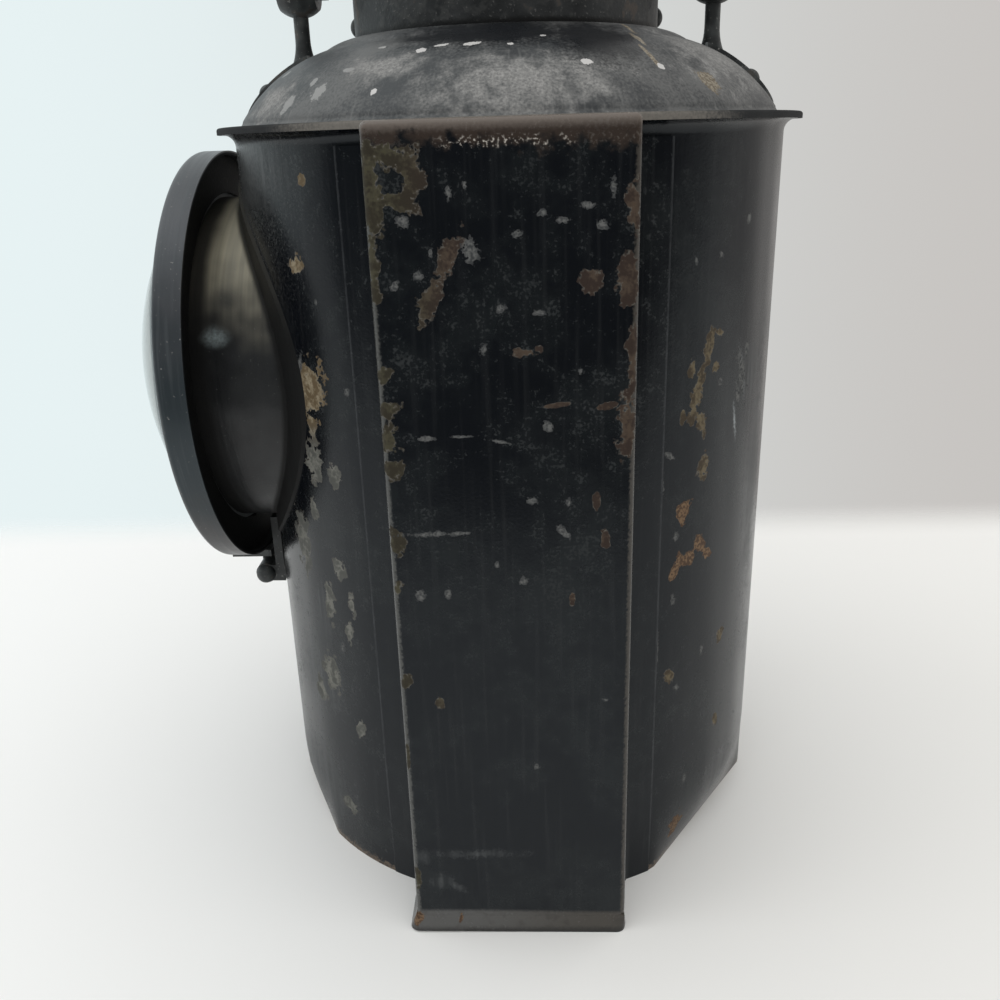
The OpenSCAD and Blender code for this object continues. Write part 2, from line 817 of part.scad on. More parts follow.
// Iron rod bail, its ends turned in through the ears and headed
module bail() {
    arch_z = bail_top - bail_x;
    pin_in = ear_x - boss_t / 2 - bail_play;
    color(iron) {
        for (side = [0, 180]) rotate(side) {
            translate([0, 0, ear_z]) bar_x(pin_in - head_t, bail_x - bail_bend, rod_r);
            translate([0, 0, ear_z]) bar_x(pin_in - head_t, pin_in, head_r);
            translate([bail_x - bail_bend, 0, ear_z + bail_bend]) rotate([90, 0, 0]) rotate(-90)
                rotate_extrude(angle = 90) translate([bail_bend, 0]) circle(rod_r);
            translate([bail_x, 0, ear_z + bail_bend]) cylinder(h = arch_z - ear_z - bail_bend, r = rod_r);
        }
        translate([0, 0, arch_z]) rotate([90, 0, 0])
            rotate_extrude(angle = 180) translate([bail_x, 0]) circle(rod_r);
    }
}

// Dished reflector that faces the lens
module reflector() {
    rim = [reflector_r, 0];
    edge = [reflector_r + reflector_rim, 0];
    color("#c7c8c6") translate([reflector_x, 0, lens_z]) rotate([0, 90, 0])
        spun(concat([edge], arc(rim, [0, reflector_deep], reflector_hollow, 10)), -sheet);
}

// Stud and foot that hold the reflector to the wall
module reflector_bracket() {
    back = reflector_x + reflector_deep + sheet;
    color(iron) translate([0, 0, lens_z]) intersection() {
        union() {
            bar_x(back, body_r, stud_r);
            bar_x(wall_in - stud_foot_t, body_r, stud_foot_r);
        }
        translate([0, 0, -body_r]) cylinder(h = body_d, r = wall_in - close);
    }
}

// Spun oil fount with a shoulder, a burner neck and a filler boss
module fount() {
    middle = [0, fount_bottom];
    corner = [fount_r, fount_bottom];
    side = [fount_r, fount_top - shoulder_h];
    crest = [fount_neck_r, fount_top];
    color(tin) difference() {
        union() {
            spun(concat([middle], bend(middle, corner, side, fount_bend), arc(side, crest, shoulder_r, 8),
                [[fount_neck_r, fount_top + fount_neck_h]]), sheet);
            translate([filler_x, 0, fount_top - shoulder_h])
                cylinder(h = shoulder_h + filler_up, r = filler_r);
        }
        translate([filler_x, 0, fount_top - shoulder_h - past])
            cylinder(h = shoulder_h + filler_up + 2 * past, r = filler_r - sheet);
    }
}

// Screw cap of the filler
module filler_cap() {
    skirt_in = filler_r + gap;
    skirt_out = skirt_in + cap_wall;
    color(brass) translate([filler_x, 0, fount_top + cap_lift]) difference() {
        union() {
            cylinder(h = cap_h, r = skirt_out);
            for (i = [0:cap_rib_count - 1]) rotate(i * 360 / cap_rib_count)
                translate([skirt_out, 0, cap_rib_r]) cylinder(h = cap_h - 2 * cap_rib_r, r = cap_rib_r);
        }
        translate([0, 0, -past]) cylinder(h = cap_h - cap_top + past, r = skirt_in);
    }
}

// Brass deck that fits over the fount's neck
module burner_base() {
    color(brass) difference() {
        translate([0, 0, fount_top + loose]) cylinder(h = deck_h + deck_t - loose, r = burner_r);
        translate([0, 0, fount_top]) cylinder(h = deck_h, r = fount_neck_r + snug);
        translate([-tube_t / 2 - snug, -tube_w / 2 - snug, deck_z - past])
            cube([tube_t + 2 * snug, tube_w + 2 * snug, deck_t + 2 * past]);
    }
}

// Flat tube that guides the wick, with windows for the wheels
module wick_tube() {
    low = fount_top - tube_dip;
    high = burner_top - tube_low;
    on_deck = deck_z + deck_t;
    window_w = wheel_w / 2 + window_side;
    window_h = wheel_r + window_side;
    color(brass) difference() {
        union() {
            block([-tube_t / 2, -tube_w / 2, low], [tube_t / 2, tube_w / 2, high]);
            block([-tube_t / 2 - tube_collar, -tube_w / 2 - tube_collar, on_deck],
                [tube_t / 2 + tube_collar, tube_w / 2 + tube_collar, on_deck + tube_collar_t]);
        }
        block([-wick_t / 2 - gap, -wick_w / 2 - gap, low - past],
            [wick_t / 2 + gap, wick_w / 2 + gap, high + past]);
        for (side = [-1, 1]) block([0, side * wheel_y - window_w, spindle_z - window_h],
            [tube_t, side * wheel_y + window_w, spindle_z + window_h]);
    }
}

// Burner dome with the flame slot, standing on the deck
module burner_dome() {
    foot = [burner_r - snug, deck_z + deck_t];
    straight = foot + [0, dome_straight];
    turn = straight + [0, dome_step];
    top = [0, burner_top];
    slot_w = wick_w + 2 * slot_end;
    slot_t = wick_t + 2 * slot_side;
    color(brass) difference() {
        spun(concat([foot, straight], arc(turn, top, dome_round, 8)), dome_sheet);
        translate([-slot_t / 2, -slot_w / 2, burner_top - slot_deep])
            cube([slot_t, slot_w, slot_deep + past]);
        translate([spindle_x, 0, spindle_z]) bar_y(-burner_r - past, burner_r + past, spindle_r + running);
    }
}

// Spindle with two toothed wheels on it and a milled knob at its end
module wick_winder() {
    tooth_foot = wheel_r - tooth_h;
    color(brass) translate([spindle_x, 0, spindle_z]) {
        bar_y(-knob_y, burner_r + spindle_end, spindle_r);
        for (side = [-1, 1]) translate([0, side * wheel_y - wheel_w / 2, 0]) {
            bar_y(0, wheel_w, wheel_r - wheel_root);
            for (i = [0:wheel_teeth - 1]) rotate([0, i * 360 / wheel_teeth, 0]) rotate([-90, 0, 0])
                linear_extrude(wheel_w) polygon([[tooth_foot, -tooth_w / 2], [wheel_r, 0],
                    [tooth_foot, tooth_w / 2]]);
        }
        bar_y(-knob_y, -knob_y + knob_t, knob_r);
        for (i = [0:milling_count - 1]) rotate([0, i * 360 / milling_count, 0]) translate([knob_r, 0, 0])
            bar_y(-knob_y + milling_r, -knob_y + knob_t - milling_r, milling_r);
    }
}

// Flat woven wick
module wick() {
    color("#d8cfb8") block([-wick_t / 2, -wick_w / 2, fount_bottom + wick_tail],
        [wick_t / 2, wick_w / 2, burner_top - wick_low]);
}

body_shell();
base_plate();
fount_seat();
socket();
lens_neck();
ring_hinge_bracket();
ring_hinge_pin();
dome_top();
vent_collar();
collar_rivets();
ear_left();
ear_right();
ear_rivets();
vent_hinge_bracket();
vent_hinge_pin();
reflector();
reflector_bracket();
lens_ring();
lens_gasket();
lens_glass();
lens_retainer();
ring_hinge_leaf();
vent_lid();
vent_cap();
vent_hinge_leaf();
bail();
fount();
burner_base();
wick_tube();
burner_dome();
filler_cap();
wick_winder();
wick();
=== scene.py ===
from math import asin, atan2, cos, exp, pi, radians, sin, sqrt, tan

import bpy
from mathutils import Matrix, Vector


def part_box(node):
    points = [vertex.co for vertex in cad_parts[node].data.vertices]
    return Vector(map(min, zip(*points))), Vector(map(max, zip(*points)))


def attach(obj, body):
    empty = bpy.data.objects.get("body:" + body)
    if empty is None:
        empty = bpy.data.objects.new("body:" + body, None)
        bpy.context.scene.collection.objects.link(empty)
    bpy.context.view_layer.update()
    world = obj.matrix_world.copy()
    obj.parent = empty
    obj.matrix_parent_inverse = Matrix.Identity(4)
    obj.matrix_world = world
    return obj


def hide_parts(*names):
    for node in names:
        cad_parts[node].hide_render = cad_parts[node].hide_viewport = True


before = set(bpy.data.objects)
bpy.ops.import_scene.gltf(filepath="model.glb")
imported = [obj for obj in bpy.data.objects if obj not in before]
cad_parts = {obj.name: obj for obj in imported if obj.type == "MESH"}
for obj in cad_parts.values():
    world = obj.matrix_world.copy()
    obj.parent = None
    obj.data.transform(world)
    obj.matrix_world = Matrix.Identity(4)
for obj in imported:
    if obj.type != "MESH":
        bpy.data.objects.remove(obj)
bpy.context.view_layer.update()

# Case wall
# A sheet of steel rolled to a tube and enamelled black, its top edge turned out for the dome's seam.
# A round hole on the left takes the lens neck. Hard knocks have pressed the foot in at two places.

mm = 0.001
case_r = 80
sheet = 0.9
lens_z = (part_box("lens_ring")[0].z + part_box("lens_ring")[1].z) / 2 / mm
wall_turn_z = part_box("body_shell")[1].z / mm - sheet
wall_edge_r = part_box("body_shell")[1].x / mm
wall_bend = 3.2
neck_hole_r = 51.1
round_steps = 240
foot_levels = [0, 0.6, 1.5, 3, 4.5, 6, 8, 10, 12.5, 15, 18, 21, 25, 30, 60, 110, 160, 200]


def rounded(*corners, steps=6):
    """A line through corners given as (a, b, radius), each one turned in an arc of its radius."""
    line = []
    for before, (a, b, radius), after in zip(corners[-1:] + corners, corners, corners[1:] + corners[:1]):
        corner = Vector((a, b))
        if not radius:
            line.append(corner)
            continue
        back = (Vector(before[:2]) - corner).normalized()
        on = (Vector(after[:2]) - corner).normalized()
        half = back.angle(on) / 2
        middle = corner + (back + on).normalized() * radius / sin(half)
        spoke = corner + back * radius / tan(half) - middle
        sweep = (pi - 2 * half) * (1 if back.cross(on) < 0 else -1)
        line += [middle + Matrix.Rotation(sweep * i / steps, 2) @ spoke for i in range(steps + 1)]
    return line


def outline(name, points):
    """Starts a piece as a line of edges through the points, and leaves it in edit mode, all selected."""
    bpy.ops.object.select_all(action="DESELECT")
    bpy.ops.mesh.primitive_plane_add(size=mm)
    piece = bpy.context.object
    piece.name = piece.data.name = name
    bpy.ops.object.mode_set(mode="EDIT")
    bpy.ops.mesh.select_all(action="SELECT")
    bpy.ops.mesh.merge(type="CENTER")
    bpy.ops.transform.translate(value=points[0] * mm)
    for here, there in zip(points, points[1:]):
        bpy.ops.mesh.extrude_vertices_move(TRANSFORM_OT_translate={"value": (there - here) * mm})
    bpy.ops.mesh.select_all(action="SELECT")
    return piece


def closed_up(piece, middle):
    """Merges doubles and turns the faces away from a middle point or line, out of edit mode."""
    bpy.ops.mesh.select_all(action="SELECT")
    bpy.ops.mesh.remove_doubles(threshold=0.001 * mm)
    bpy.ops.mesh.normals_make_consistent(inside=False)
    bpy.ops.object.mode_set(mode="OBJECT")
    outward = sum(face.normal.dot(face.center - middle) * face.area for face in piece.data.polygons)
    if outward < 0:
        bpy.ops.object.mode_set(mode="EDIT")
        bpy.ops.mesh.flip_normals()
        bpy.ops.object.mode_set(mode="OBJECT")
    return piece


def spun(name, line, on_lens_axis=False):
    """A sheet or a solid spun from its section, whose points are its radius and its place on the axis."""
    mean = sum(along for radius, along in line) / len(line)
    if on_lens_axis:
        axis, middle = (1, 0, 0), Vector((-mean, 0, lens_z))
        points = [Vector((-along, 0, lens_z + radius)) for radius, along in line]
    else:
        axis, middle = (0, 0, 1), Vector((0, 0, mean))
        points = [Vector((radius, 0, along)) for radius, along in line]
    piece = outline(name, points)
    bpy.ops.mesh.spin(steps=round_steps, angle=2 * pi, center=middle * mm, axis=axis, use_auto_merge=True)
    return closed_up(piece, middle * mm)


def active(piece):
    """Leaves only this piece selected and active."""
    bpy.ops.object.select_all(action="DESELECT")
    piece.select_set(True)
    bpy.context.view_layer.objects.active = piece


def altered(piece, kind, **settings):
    """Adds a modifier to a piece, sets it and applies it."""
    active(piece)
    bpy.ops.object.modifier_add(type=kind)
    modifier = piece.modifiers[-1]
    for name, value in settings.items():
        setattr(modifier, name, value)
    bpy.ops.object.modifier_apply(modifier=modifier.name)
    return piece


def fitted(piece, material, body, slot, *nodes):
    """Shades a finished piece, gives it its material, body and slot, and hides the nodes it stands for."""
    active(piece)
    bpy.ops.object.shade_smooth_by_angle(angle=radians(35))
    piece.data.materials.clear()
    piece.data.materials.append(material)
    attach(piece, body)
    if nodes:
        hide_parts(*nodes)


class Wire:
    """A socket of a material's nodes: arithmetic on it adds Math nodes, and node() adds any other."""

    def __init__(self, tree, socket=None):
        self.tree = tree
        self.socket = socket

    def node(self, kind, settings, sockets, output=0):
        made = self.tree.nodes.new(kind)
        for name, value in settings.items():
            setattr(made, name, value)
        for name, value in sockets.items():
            if isinstance(value, Wire):
                self.tree.links.new(value.socket, made.inputs[name])
            else:
                made.inputs[name].default_value = value
        return Wire(self.tree, made.outputs[output])

    def math(self, operation, *values):
        return self.node("ShaderNodeMath", {"operation": operation}, dict(enumerate(values)))

    def __add__(self, other):
        return self.math("ADD", self, other)

    def __radd__(self, other):
        return self.math("ADD", other, self)

    def __sub__(self, other):
        return self.math("SUBTRACT", self, other)

    def __rsub__(self, other):
        return self.math("SUBTRACT", other, self)

    def __mul__(self, other):
        return self.math("MULTIPLY", self, other)

    def __rmul__(self, other):
        return self.math("MULTIPLY", other, self)

    def __truediv__(self, other):
        return self.math("DIVIDE", self, other)


def finish_of(name):
    """A new material with its shader, and the place on the piece in millimetres."""
    material = bpy.data.materials.new(name)
    material.use_nodes = True
    shader = material.node_tree.nodes["Principled BSDF"]
    place = Wire(material.node_tree).node("ShaderNodeTexCoord", {}, {}, "Object")
    place = place.node("ShaderNodeVectorMath", {"operation": "SCALE"}, {0: place, "Scale": 1 / mm})
    return material, shader, place


def axes(place):
    """The three coordinates of a place."""
    first = place.node("ShaderNodeSeparateXYZ", {}, {0: place})
    return [Wire(place.tree, socket) for socket in first.socket.node.outputs]


def joined(across, deep, up):
    """A place from its three coordinates."""
    wire = next(value for value in (across, deep, up) if isinstance(value, Wire))
    return wire.node("ShaderNodeCombineXYZ", {}, {0: across, 1: deep, 2: up})


def grain(place, size, seed, detail=3.0, rough=0.55):
    """Cloudy grain about 0.5, with clouds of about the given size in millimetres."""
    place = place.node("ShaderNodeVectorMath", {"operation": "ADD"}, {0: place, 1: (71.3 * seed, 0, 0)})
    return place.node("ShaderNodeTexNoise", {},
                      {"Vector": place, "Scale": 1 / size, "Detail": detail, "Roughness": rough})


def ease(value, low, high):
    """0 below low, 1 above high and smooth between."""
    return value.node("ShaderNodeMapRange", {"interpolation_type": "SMOOTHSTEP"},
                      {"Value": value, "From Min": low, "From Max": high})


def mixed(share, under, over):
    """The colour under, covered by the colour over where share is 1."""
    under, over = [(*colour, 1) if isinstance(colour, tuple) else colour for colour in (under, over)]
    return share.node("ShaderNodeMix", {"data_type": "RGBA"}, {0: share, 6: under, 7: over}, 2)


def either(*masks):
    """The stronger of several masks."""
    strongest = masks[0]
    for mask in masks[1:]:
        strongest = strongest.math("MAXIMUM", strongest, mask)
    return strongest


def reach_of(flat, spots):
    """How far a place lies from the nearest spot, 1 on its edge; a spot is its middle, half sizes and lean.

    The nearest reach rides along as the place's depth, so that each spot waits for the one before it:
    the renderer has too little room to hold them all at once.
    """
    across, deep, up = axes(flat)
    far = 1e6
    place = joined(across, far, up)
    for middle_across, middle_up, half_wide, half_high, lean in spots:
        local = place.node("ShaderNodeMapping", {"vector_type": "TEXTURE"},
                           {"Vector": place, "Location": (middle_across, 0, middle_up),
                            "Rotation": (0, radians(lean), 0), "Scale": (half_wide, far * far, half_high)})
        reach = local.node("ShaderNodeVectorMath", {"operation": "LENGTH"}, {0: local}, "Value")
        nearest = {0: place, 1: joined(far, reach, far)}
        place = place.node("ShaderNodeVectorMath", {"operation": "MINIMUM"}, nearest)
    return axes(place)[1]


def marks(flat, ragged, spots):
    """1 inside the spots, with a ragged edge."""
    return 1 - ease(reach_of(flat, spots) + ragged, 0.92, 1.02)


def finished(shader, colour, roughness, height, depth, **constants):
    """Links a finish to its shader, with its relief of the given depth in millimetres."""
    tree = colour.tree
    bump = height.node("ShaderNodeBump", {}, {"Height": height, "Distance": depth * mm})
    for wire, socket in ((colour, "Base Color"), (roughness, "Roughness"), (bump, "Normal")):
        tree.links.new(wire.socket, shader.inputs[socket])
    for name, value in constants.items():
        shader.inputs[name.replace("_", " ")].default_value = value


def worn_enamel(name, laid_flat, flakes, rust, pale, rubbed, wear_and_painted_light, undercoat, specks):
    """Black enamel over an undercoat: flaked at listed spots, speckled, dusty and worn at its edges, with
    painted sheen among the wall's rubbed patches and edge marks and painted shade along the socket's foot.
    """
    material, shader, place = finish_of(name)
    across, up = laid_flat(place)
    flat = joined(across, 0, up)
    fine = grain(place, 0.8, 2, 2.0)
    mid = grain(place, 3.4, 3, 2.0)
    clouds = grain(place, 24, 4, 2.0)
    streaks = grain(joined(across / 1.5, 0, up / 45), 1, 5, 1.0)
    ragged = (fine - 0.5) * 1.1 + (mid - 0.5) * 2.8
    reach = reach_of(flat, flakes) + ragged
    bare = 1 - ease(reach, 0.93, 1.0)
    rim = ease(reach, 0.84, 0.98) * (1 - ease(reach, 1.0, 1.1))
    rusty = marks(flat, ragged, rust)
    chipped = 1 - ease(reach_of(flat, pale) + ragged + (fine - 0.5) * 2, 0.7, 1.2)
    # Rubbed patches, paler and rougher; on the wall most of them are painted sheen.
    soft = 1 - ease(reach_of(flat, rubbed) + (fine - 0.5) * 2 + (mid - 0.5) * 2, 0, 1.5)
    speckled = ease(fine + (mid - 0.5) * 0.7 + (clouds - 0.5) * 0.4, 0.6, 0.78) * specks(place)
    colour = mixed(ease(clouds + (mid - 0.5) * 0.5, 0.38, 0.68),
                   (0.0028, 0.0034, 0.0048), (0.0068, 0.0082, 0.0092))
    colour = mixed(ease(streaks, 0.48, 0.8) * 0.3, colour, (0.02, 0.021, 0.022))
    colour = mixed(speckled * 0.3, colour, (0.06, 0.063, 0.063))
    colour = mixed(soft * (0.2 + (streaks - 0.5) * 0.8), colour, (0.13, 0.135, 0.136))
    for mask, tone in wear_and_painted_light(place, fine):
        colour = mixed(mask, colour, tone)
    dark, light = undercoat(place)
    colour = mixed(bare, colour, mixed(ease(mid + (fine - 0.5) * 0.5, 0.38, 0.62), dark, light))
    colour = mixed(rim * ease(fine, 0.42, 0.6) * 0.8, colour, (0.11, 0.1, 0.085))
    rust_tone = mixed(ease(fine, 0.4, 0.62), (0.06, 0.033, 0.018), (0.16, 0.1, 0.055))
    chip_tone = mixed(ease(fine, 0.35, 0.62), (0.035, 0.036, 0.037), (0.11, 0.11, 0.106))
    colour = mixed(chipped, mixed(rusty, colour, rust_tone), chip_tone)
    lost = either(bare, rusty, chipped)
    roughness = 0.25 + (clouds - 0.5) * 0.2 + soft * 0.15 + speckled * 0.2 + lost * 0.4
    flutes = grain(joined(across / 14, 0, up / 160), 1, 9, 0.0)
    finished(shader, colour, roughness, fine * 0.12 + flutes * 2.5, 0.22,
             Specular_IOR_Level=0.28, Specular_Tint=(0.87, 0.94, 1, 1))
    return material


def round_wall(place):
    """The wall laid flat: the way round it from the middle of the socket, and the height."""
    x, y, z = axes(place)
    return x.math("ARCTAN2", x, 0 - y) * case_r, z


def foot_wear_and_sheen(place, fine):
    """Bare metal along the foot, where the case drags, a scuff on the right, and dust with a painted sheen on
    the left under the seam.
    """
    x, y, z = axes(place)
    around, up = round_wall(place)
    scuffed = reach_of(joined(around, 0, up), [(74, 153, 1.5, 8, -18), (71, 140, 0.8, 6, -12)])
    scuff = 1 - ease(scuffed + (fine - 0.5) * 2, 0, 1.2)
    # Dust and painted sheen: the upper left of the wall is painted paler, as where light from the left falls
    # on it.
    dust = ease(0 - x + (fine - 0.5) * 60, 50, 90) * ease(z, 150, 215)
    bare = 1 - ease(z + (fine - 0.5) * 9, 0.6, 2.2)
    return [(scuff * 0.7, (0.26, 0.28, 0.29)), (dust * 0.6, (0.11, 0.112, 0.11)), (bare, (0.1, 0.075, 0.055))]


def wall_specks(place):
    """The wall is speckled all over, most on its lower half and on the left."""
    x, y, z = axes(place)
    return (1 - ease(z, 60, 240) * 0.6) * (1 - ease(x, -20, 40) * 0.5)


def ochre(place):
    """The tones of the wall's undercoat: brown on the right, ochre by the lens and greyer below it."""
    x, y, z = axes(place)
    left = ease(0 - x, 0, 30)
    low = 1 - ease(z, 136, 146)
    return (mixed(left, (0.045, 0.032, 0.018), mixed(low, (0.1, 0.07, 0.036), (0.07, 0.07, 0.062))),
            mixed(left, (0.12, 0.095, 0.056), mixed(low, (0.24, 0.2, 0.135), (0.15, 0.148, 0.13))))


wall_enamel = worn_enamel(
    "wall_enamel", round_wall,
    flakes=[(57, 163, 2, 5, 12), (53, 151, 2, 8, 14), (55, 143, 1.7, 4, -20), (51, 158, 1.2, 2.4, 0),
            (61, 166, 2, 1, 0), (60, 157, 1.5, 1.8, 0), (57, 130, 2.3, 3.6, 8), (47, 68, 2, 2, 0),
            (38, 77, 2, 4, 0), (48, 146, 0.8, 2, 0), (-59, 153, 5.6, 7.4, 10), (-60, 143, 1.8, 4, 0),
            (-61, 132, 4, 6, 8), (-63, 118, 2, 3.4, 0), (-52, 130.5, 2.2, 3.6, 0),
            (-39, 131, 1.4, 1.7, 0), (-54, 102, 2.6, 3.4, 0), (-60, 90, 2.4, 7, 0),
            (-50, 92, 1.3, 3.4, 0), (-52, 82.5, 1.5, 3.4, 0), (-63, 64, 4.6, 6, 0), (-70, 55, 3, 4, 0),
            (-72, 106, 4, 9, 0), (-60, 186, 2.8, 2.4, 20), (-54, 207, 1.5, 1.2, 0),
            (-51, 49, 1.8, 3.4, 0), (-60, 17, 3.4, 2.4, 20), (70, 43, 1.6, 2.4, 0), (70, 73, 2, 2.4, 0),
            (132, 176, 3, 7, 12), (168, 64, 5, 3, 0), (214, 150, 2, 5, -10), (-206, 96, 3, 8, 8),
            (-168, 30, 6, 3, 0), (240, 202, 6, 2, 0)],
    rust=[(49.5, 118.5, 3, 3, 0), (51, 104, 3.4, 2, 10), (47, 101, 1.4, 2.4, 30), (57, 107, 2, 3.6, -35),
          (53, 12, 3, 4, 0), (60, 103, 1.8, 1.6, 0), (34, 6, 2, 3, 0), (190, 8, 9, 4, 0),
          (-226, 150, 2, 4, 0)],
    pale=[(43.6, 136, 2.6, 0.7, 35), (41, 131, 0.8, 2.4, 0), (74, 153, 2.2, 6.5, -20),
          (47, 111.5, 1, 1.5, 0), (47, 92.5, 0.9, 1.5, 0), (50, 63, 1, 1, 0), (60, 71.5, 0.9, 2.4, 0),
          (55, 28.5, 0.8, 1.8, 0), (72.5, 194, 1, 1, 0), (60, 186, 0.8, 0.8, 0),
          (50.5, 185.5, 0.6, 1.2, 0), (62.5, 152.5, 1, 1, 0), (-44.5, 154.5, 1, 1.2, 0),
          (-53, 177, 0.8, 0.8, 0), (-56, 75, 1, 2, 0), (-63, 160, 1, 3, 20), (72, 147, 1, 4, -15),
          (76, 159, 1.4, 2, 0), (42, 128, 0.5, 3, 0), (42, 76, 0.5, 5, 0), (150, 110, 1, 7, 25),
          (188, 186, 5, 0.7, 8), (-190, 170, 0.8, 5, -12), (226, 74, 2, 2, 0), (-150, 90, 1.2, 3, 0)],
    # The rubbed patches near the left and right edges of the front are painted sheen, paler where the wall
    # would reflect the floor and the light; the two on the back are rub marks.
    rubbed=[(80, 152, 8, 7, -20), (-76, 209, 14, 9, 0), (-64, 84, 4, 10, 0), (-70, 60, 13, 11, 0),
            (75, 22, 9, 7, 0), (-80, 20, 18, 14, 0), (88, 120, 8, 40, 0), (175, 130, 26, 40, 10),
            (-205, 60, 20, 34, 0)],
    wear_and_painted_light=foot_wear_and_sheen, undercoat=ochre, specks=wall_specks)

wall_line = [Vector((case_r, level)) for level in foot_levels]
wall_line += rounded((case_r, 0, 0), (case_r, wall_turn_z, wall_bend), (wall_edge_r, wall_turn_z, 0))[1:]
case_wall = altered(spun("case_wall", wall_line), "SOLIDIFY", thickness=sheet * mm, offset=-1)

active(case_wall)
bpy.ops.mesh.primitive_cylinder_add(vertices=160, radius=neck_hole_r * mm, depth=2 * case_r * mm,
                                    location=(-case_r * mm, 0, lens_z * mm), rotation=(0, pi / 2, 0))
hole_cutter = bpy.context.object
altered(case_wall, "BOOLEAN", object=hole_cutter, operation="DIFFERENCE", solver="EXACT")
bpy.data.objects.remove(hole_cutter)

# Each dent is a flat pressed into the foot: its middle and half width in degrees, and its height
dents = [(55.5, 24.5, 28), (-65.5, 15.5, 20)]


def pressed(piece):
    """Presses the dents of the foot into a piece."""
    for vertex in piece.data.vertices:
        angle = atan2(vertex.co.x, -vertex.co.y)
        for middle, half, height in dents:
            off = abs(angle - radians(middle))
            fade = max(0, 1 - vertex.co.z / (height * mm)) ** 2
            if off < radians(half):
                share = 1 - (1 - cos(radians(half)) / cos(off)) * fade
                vertex.co.x *= share
                vertex.co.y *= share
    return piece


fitted(pressed(case_wall), wall_enamel, "case", "case_paint", "body_shell")

# Bottom plate
# A pressed disc with its rim turned up inside the wall and soldered there. It took the same knocks as the
# wall's foot, and its underside is scuffed down to the undercoat.

plate_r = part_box("base_plate")[1].x / mm
plate_rim_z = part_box("base_plate")[1].z / mm
plate_t = 1.2


def scuffs(place, fine):
    """Scuffed metal under the plate."""
    under = 1 - ease(axes(place)[2], 0.05, 0.3)
    return [(ease(grain(place, 14, 11), 0.5, 0.6) * under, (0.1, 0.085, 0.07))]


def seen_from_above(place):
    """A level plate laid flat."""
    x, y, z = axes(place)
    return x, y


plate_enamel = worn_enamel(
    "plate_enamel", seen_from_above, flakes=[(20, -30, 14, 3, 20)], rust=[(-35, 20, 5, 4, 0)],
    pale=[(10, 40, 6, 1, 30)], rubbed=[(0, 0, 60, 60, 0)],
    wear_and_painted_light=scuffs, undercoat=ochre, specks=wall_specks)
plate_line = [Vector(point) for point in (
    (0, 0), (plate_r, 0), (plate_r, plate_rim_z),
    (plate_r - sheet, plate_rim_z), (plate_r - sheet, plate_t), (0, plate_t))]
fitted(pressed(spun("bottom_plate", plate_line)), plate_enamel, "case", "case_paint", "base_plate")

# Fount seat
# A flanged ring of tinned sheet, soldered to the bottom plate, that keeps the oil fount in the middle.
# The tin has dulled and is spotted with rust.


def dull_tin(name):
    """Tinned sheet gone grey, with a faint crystal pattern and brown spots."""
    material, shader, place = finish_of(name)
    clouds = grain(place, 7, 21)
    spots = ease(grain(place, 3, 22), 0.66, 0.74)
    colour = mixed(ease(clouds, 0.35, 0.65), (0.34, 0.34, 0.33), (0.5, 0.5, 0.48))
    colour = mixed(spots, colour, (0.14, 0.09, 0.06))
    roughness = 0.36 + clouds * 0.2 + spots * 0.3
    finished(shader, colour, roughness, clouds - spots * 0.5, 0.06, Metallic=0.85)
    return material


def dress(finish, *names):
    """Gives CAD nodes a finish."""
    for name in names:
        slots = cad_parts[name].data.materials
        slots.clear()
        slots.append(finish)


tinplate = dull_tin("tinplate")
dress(tinplate, "fount_seat")

# Lamp iron socket
# A channel folded from sheet, with a closed head before the seam, flanges soldered to the wall and a hem
# round its open foot. The enamel has flaked along its folds, and the foot is bent askew.

socket_half = 30
socket_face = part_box("socket")[0].y / mm + sheet
socket_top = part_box("socket")[1].z / mm
socket_bend = 1.8
flange_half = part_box("socket")[1].x / mm
flange_top = wall_turn_z - wall_bend - 0.3
fold_reach = socket_half - socket_face
head_r = 85.1
head_bend = 1.5
hem_top = 5.4
hem_levels = [0, 1.2, 2.6, 4, hem_top]
socket_levels = hem_levels + [7, 9, 12, 16, 24, 40, 70, 110, 150, 190, flange_top]


def on_round(radius, from_x, to_x, steps=10):
    """Points on the front of a circle round the case, between two places across it."""
    first, last = asin(from_x / radius), asin(to_x / radius)
    angles = [first + (last - first) * i / steps for i in range(steps + 1)]
    return [Vector((radius * sin(angle), -radius * cos(angle))) for angle in angles]


def channel(proud, back):
    """The channel's three sides seen from above, from the back line round, standing proud of its outside."""
    half, face, bend = socket_half + proud, socket_face - proud, socket_bend + proud
    return rounded((-half, back, 0), (-half, face, bend), (half, face, bend), (half, back, 0))


def risen(name, plan, levels):
    """A sheet that stands on a plan, with a row of points at each level."""
    piece = outline(name, [Vector((x, y, levels[0])) for x, y in plan])
    for low, high in zip(levels, levels[1:]):
        bpy.ops.mesh.extrude_edges_move(TRANSFORM_OT_translate={"value": (0, 0, (high - low) * mm)})
    return closed_up(piece, Vector((0, -case_r, levels[-1] / 2)) * mm)


flange_r = case_r + sheet
side_back = -sqrt(flange_r ** 2 - socket_half ** 2)
plan = on_round(flange_r, -flange_half, -socket_half - sheet) + channel(0, side_back)
plan += on_round(flange_r, socket_half + sheet, flange_half)
socket = risen("lamp_iron_socket", plan, socket_levels)
altered(socket, "SOLIDIFY", thickness=sheet * mm, offset=-1)

head_back = -sqrt(head_r ** 2 - socket_half ** 2)
head_plan = channel(0, head_back) + on_round(head_r, socket_half, -socket_half)[1:-1]
socket_head = outline("socket_head", [Vector((x, y, flange_top)) for x, y in head_plan])
bpy.ops.mesh.edge_face_add()
bpy.ops.mesh.extrude_region_move(TRANSFORM_OT_translate={"value": (0, 0, (socket_top - flange_top) * mm)})
closed_up(socket_head, Vector((0, socket_face / 2 - case_r / 2, flange_top)) * mm)

